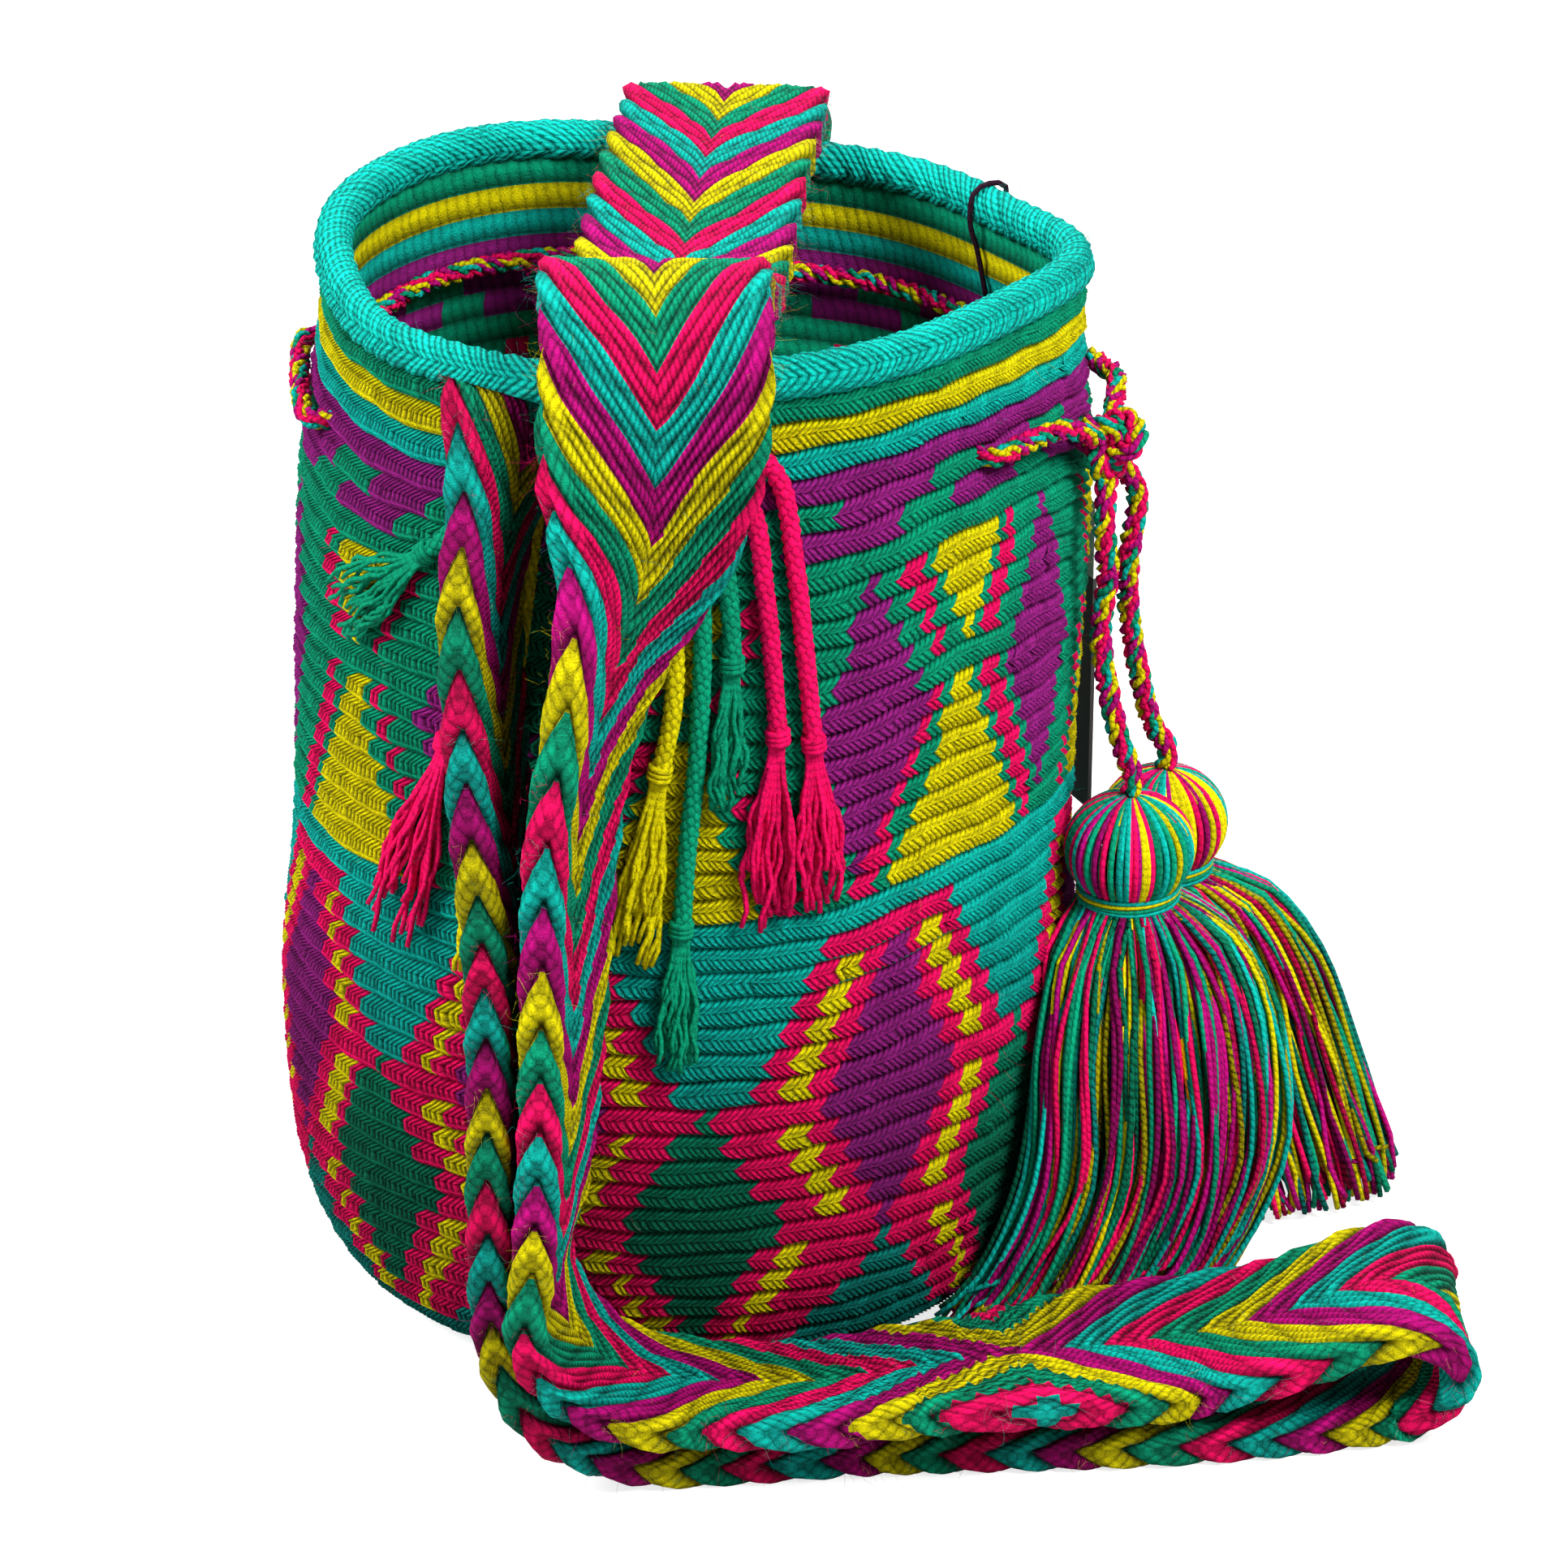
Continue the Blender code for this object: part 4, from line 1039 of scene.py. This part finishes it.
# Yarn, half width of the loose threads, azimuths and levels of the places, of which the last is the tip
FRINGES = {
    "pink_outer": (
        *(PINK, 0.0062),
        (-96, -86, -78.5, -76, -74, -72.5, -70.5),
        (0.95, 0.945, 0.905, 0.83, 0.74, 0.67, 0.51),
    ),
    "pink_inner": (
        *(PINK, 0.0070),
        (-96, -88, -82, -80, -78.5, -77.5, -78.5),
        (0.923, 0.916, 0.88, 0.81, 0.74, 0.68, 0.5),
    ),
    "green_short": (
        *(GREEN, 0.0042),
        (-97, -90, -86, -84.5, -84, -84),
        (0.898, 0.888, 0.85, 0.79, 0.75, 0.62),
    ),
    "green_long": (
        *(GREEN, 0.0050),
        (-98, -92, -88.8, -88, -88.2, -89, -89.5, -90),
        (0.872, 0.86, 0.82, 0.75, 0.66, 0.58, 0.5, 0.37),
    ),
    "yellow": (YELLOW, 0.0055, (-99, -95, -92, -91.6, -93, -96), (0.845, 0.825, 0.78, 0.71, 0.65, 0.47)),
    "pink_left": (
        *(PINK, 0.0105),
        (-118, -119, -120.5, -122.5, -124, -133),
        (0.9, 0.84, 0.76, 0.69, 0.65, 0.45),
    ),
    "green_left": (GREEN, 0.0095, (-124, -125.2, -127, -130, -146), (0.9, 0.865, 0.84, 0.822, 0.735)),
    "yellow_left": (
        *(YELLOW, 0.0065),
        (-113, -113, -114, -116, -117, -118),
        (0.9, 0.82, 0.72, 0.62, 0.56, 0.43),
    ),
    "pink_back": (PINK, 0.0080, (71, 71, 70.5, 70), (0.755, 0.7, 0.66, 0.52)),
    "green_back": (GREEN, 0.0080, (82, 82.5, 82, 82), (0.755, 0.7, 0.64, 0.5)),
    "yellow_back": (YELLOW, 0.0080, (93, 93, 94, 95), (0.755, 0.71, 0.67, 0.53)),
}


def make_fringe(name, yarn, half_width, azimuths, levels):
    """A twisted cord end and the loose threads that it frays into."""
    stand_off = FRINGE_RADIUS + FRINGE_CLEARANCE
    *route, _ = wall_point(azimuths, levels, stand_off)
    path = smooth_path(route, 0.0014)
    weave = Weave()
    add_rope(weave, path, FRINGE_RADIUS + 0.0006, yarn, 0.0095)
    slot = "fringe_" + name.split("_")[0]
    rope = weave.make(name + "_cord", CORD_YARN, "fringe_cord_" + name, slot=slot)

    weave = Weave()
    start, end = np.transpose((azimuths[-2:], levels[-2:]))
    ahead = unit(wall_point(*end) - wall_point(*start))
    for _ in range(FRINGE_THREADS):
        side = chance.uniform(-1, 1)
        lift = chance.uniform(0.0012, 2 * FRINGE_DEPTH)
        reach = chance.uniform(0.72, 1.06)
        curl = chance.uniform(0.0004, 0.0013)
        phase = chance.uniform(0, 2 * pi)
        points = []
        for part in np.linspace(0, 1, 13):
            opened = ease(0.08, 0.75, part)
            azimuth, level = start + (end - start) * part * reach
            out = stand_off + (lift - stand_off) * opened
            across = np.cross(ahead, outward(azimuth))
            turn = 5.2 * pi * part + phase
            spread = side * (FRINGE_RADIUS * 0.8 * (1 - opened) + half_width * opened)
            point = wall_point(azimuth, level, out + 0.5 * curl * opened * np.cos(turn))
            points.append(point + across * (spread + curl * opened * np.sin(turn)))
        add_thread(weave, np.array(points), 0.00075, yarn, 4)
    tangent, side, up = frames_along(path)
    ring = turned(np.linspace(0, 2 * pi, 17)[:-1], side[-1], up[-1]) * 0.0026
    for k in range(3):
        add_ring(weave, path[-1] + tangent[-1] * (0.0014 * k - 0.0006) + ring, 0.0009, yarn, 1.0)
    tuft = weave.make(name + "_tuft", THREAD_YARN, "fringe_tassel_" + name, slot=slot)


# Swing tag


TAG_WIDTH = 0.042
TAG_HEIGHT = 0.095
TAG_THICKNESS = 0.0012
TAG_TOP = 0.215
TAG_WHITE = 0.024
TAG_AZIMUTH = 24
TAG_CLEARANCE = 0.006
THREAD_RADIUS = 0.0008
THREAD_CLEARANCE = 0.0009


def card_material():
    """Smooth card, white along its top and black below."""
    material, surface, start = new_material("tag_card")
    place = start.read("TexCoord", "Object")
    height = start.read("SeparateXYZ", "Z", Vector=place)
    white = start.maths("GREATER_THAN", height, TAG_TOP - TAG_WHITE)
    grain = start.noise(900.0)
    light = white * 0.78 + 0.012 + grain * 0.03
    colour = start.read("CombineXYZ", 0, X=light, Y=light, Z=light)
    colour.into(surface, "Base Color")
    (0.42 + grain * 0.2).into(surface, "Roughness")
    return material


def make_tag():
    top = wall_point(TAG_AZIMUTH, TAG_TOP / BAG_HEIGHT, TAG_CLEARANCE)
    face = top + outward(TAG_AZIMUTH) * TAG_THICKNESS / 2
    centre = face - (0, 0, TAG_HEIGHT / 2)
    bpy.ops.object.select_all(action="DESELECT")
    bpy.ops.mesh.primitive_cube_add(size=1, location=centre, rotation=(0, 0, radians(TAG_AZIMUTH)))
    card = bpy.context.object
    card.name = "tag_plate"
    card.scale = (TAG_THICKNESS, TAG_WIDTH, TAG_HEIGHT)
    bpy.ops.object.transform_apply(location=True, rotation=True, scale=True)
    card.data.materials.append(card_material())
    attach(card, "root")
    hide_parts("hang_tag")

    azimuth = TAG_AZIMUTH + 13
    clear = THREAD_RADIUS + THREAD_CLEARANCE
    inside = -WALL - EDGING_BULGE - clear
    outside = EDGING_BULGE + clear
    stops = (
        (azimuth - 3, 0.90, -WALL - clear),
        (azimuth - 1, 0.95, -WALL - clear - EDGING_BULGE * 0.4),
        (azimuth, EDGING_LEVEL, inside),
        (azimuth, 1.0, inside * 0.95),
        (azimuth, 1.0, -WALL / 2),
        (azimuth, 1.0, outside * 0.9),
        (azimuth, EDGING_LEVEL, outside),
        (azimuth - 6, 0.83, clear),
    )
    route = wall_point(*np.transpose(stops))
    route[4, 2] += clear + GAP
    path = smooth_path([*route, face], 0.003)
    weave = Weave()
    add_thread(weave, path, THREAD_RADIUS, PURPLE, 8)
    weave.colours = [colour * (0.08, 0.4, 0.08, 1) for colour in weave.colours]
    thread = weave.make("tag_elastic", THREAD_YARN, "tag_thread", slot="tag_thread_yarn")


# Loose fibres


WALL_FIBRES = 2800
STRAP_FIBRES = 6200


def make_fuzz():
    """Short fibres that stand off the yarn."""
    weave = Weave()
    along, route = strap_route()

    def add_fibre(root, out, yarn):
        length = min(chance.gamma(2.0, 0.0015), 0.0065)
        bends = np.cumsum(chance.normal(0, 0.35, (3, 3)), axis=0)
        bends[0] = 0
        path = root + (unit(out) * np.arange(3)[:, None] + bends) * length / 2
        add_thread(weave, path, np.array((0.00004, 0.00003, 0.00002)), yarn, 3)

    for k in range(WALL_FIBRES):
        azimuth = chance.uniform(-180, 180)
        level = chance.uniform(0.03, 0.99) if k % 3 else 1.0
        root = wall_point(azimuth, level, 0.0006)
        out = wall_point(azimuth, level, 0.01) - wall_point(azimuth, level, 0.0)
        out = unit(out) + chance.normal(0, 0.7, 3) + (0, 0, 0.8 if level == 1.0 else 0)
        row = np.array([min(ROWS - 1, int((level - ROW_START) / ROW_PITCH))])
        yarn = TURQUOISE if level == 1.0 else int(wall_yarn(row, np.array([azimuth]))[0])
        add_fibre(root, out, yarn)
    for k in range(STRAP_FIBRES):
        place = chance.uniform(along[0], along[-1])
        at = strap_at(place, along, route)
        side = chance.choice((-1, 1))
        across = side * STRAP_WIDTH / 2 * at[9] if k % 4 else chance.uniform(-1, 1) * STRAP_WIDTH / 2.3
        lift = chance.uniform(-1, 1) * STRAP_THICKNESS * 0.4 if k % 4 else side * STRAP_THICKNESS / 2
        root = at[0:3] + at[3:6] * across + at[6:9] * lift
        if root[2] < 0.002:
            continue
        out = at[3:6] * side if k % 4 else at[6:9] * side
        out = out + chance.normal(0, 0.8, 3)
        lead = strap_lead(STRAP_WIDTH / 2 + 0.002)
        number = int(np.floor((abs(place) - lead) / STRIPE_PITCH + stripe_drift(place)))
        add_fibre(root, out, number % 5)
    weave.make("loose_fibres", THREAD_YARN)


# Floor, lamps and camera


def make_stage():
    bpy.ops.object.select_all(action="DESELECT")
    bpy.ops.mesh.primitive_plane_add(size=14, location=(0, 2, -0.0008))
    floor = bpy.context.object
    floor.name = "floor"
    material, surface, start = new_material("floor_white")
    settings = (0.4, 0.4, 0.4, 1), 0.9, 0.1, (1, 1, 1, 1)
    for key, value in zip(("Base Color", "Roughness", "Specular IOR Level", "Emission Color"), settings):
        surface.inputs[key].default_value = value
    seen = start.read("LightPath", "Is Camera Ray")
    (seen * 0.78).into(surface, "Emission Strength")
    floor.data.materials.append(material)

    world = bpy.data.worlds.new("white_world")
    bpy.context.scene.world = world
    world.use_nodes = True
    background = world.node_tree.nodes["Background"]
    start = Field(world.node_tree, None)
    path = start.make("LightPath")
    seen = start.maths("MAXIMUM", start.out(path, "Is Camera Ray"), start.out(path, "Is Glossy Ray"))
    seen = start.maths("MAXIMUM", seen, start.out(path, "Is Transmission Ray"))
    (0.27 + seen * 0.73).into(background, "Strength")
    background.inputs["Color"].default_value = (1, 1, 1, 1)

    for name, place, size, power in (
        ("key_lamp", (1.1, -1.1, 1.9), 1.0, 74),
        ("left_lamp", (-1.3, -0.6, 1.5), 1.0, 50),
        ("back_lamp", (0.2, 1.3, 1.8), 1.4, 24),
    ):
        lamp = bpy.data.lights.new(name, "AREA")
        lamp.shape = "DISK"
        lamp.size = size
        lamp.energy = power
        aim = Vector((0.02, 0, 0.12)) - Vector(place)
        put(name, lamp, place, aim.to_track_quat("-Z", "Y").to_euler())

    camera = bpy.data.cameras.new("camera")
    camera.lens = 123.75
    camera.sensor_width = 36
    turn = (radians(90 - 24.698), 0, 0)
    bpy.context.scene.camera = put("camera", camera, (0.03147, -1.38541, 0.77674), turn)
    bpy.context.scene.view_settings.view_transform = "Standard"


make_stage()
for name, tail, head in (("front", FRONT_TAIL, FRONT_HEAD), ("back", BACK_TAIL, BACK_HEAD)):
    make_tail(name, tail, head)
for name, settings in FRINGES.items():
    make_fringe(name, *settings)
make_tag()
crochet_band("rows_low", 0, 13, "bag_body")
crochet_band("rows_middle", 13, 26)
crochet_band("rows_high", 26, ROWS)
make_lining()
make_base()
make_edging()
make_strap()
make_drawstring()
make_tassel("front", FRONT_HEAD, FRONT_SKIRT, 26)
make_tassel("back", BACK_HEAD, BACK_SKIRT, 14)
make_fuzz()
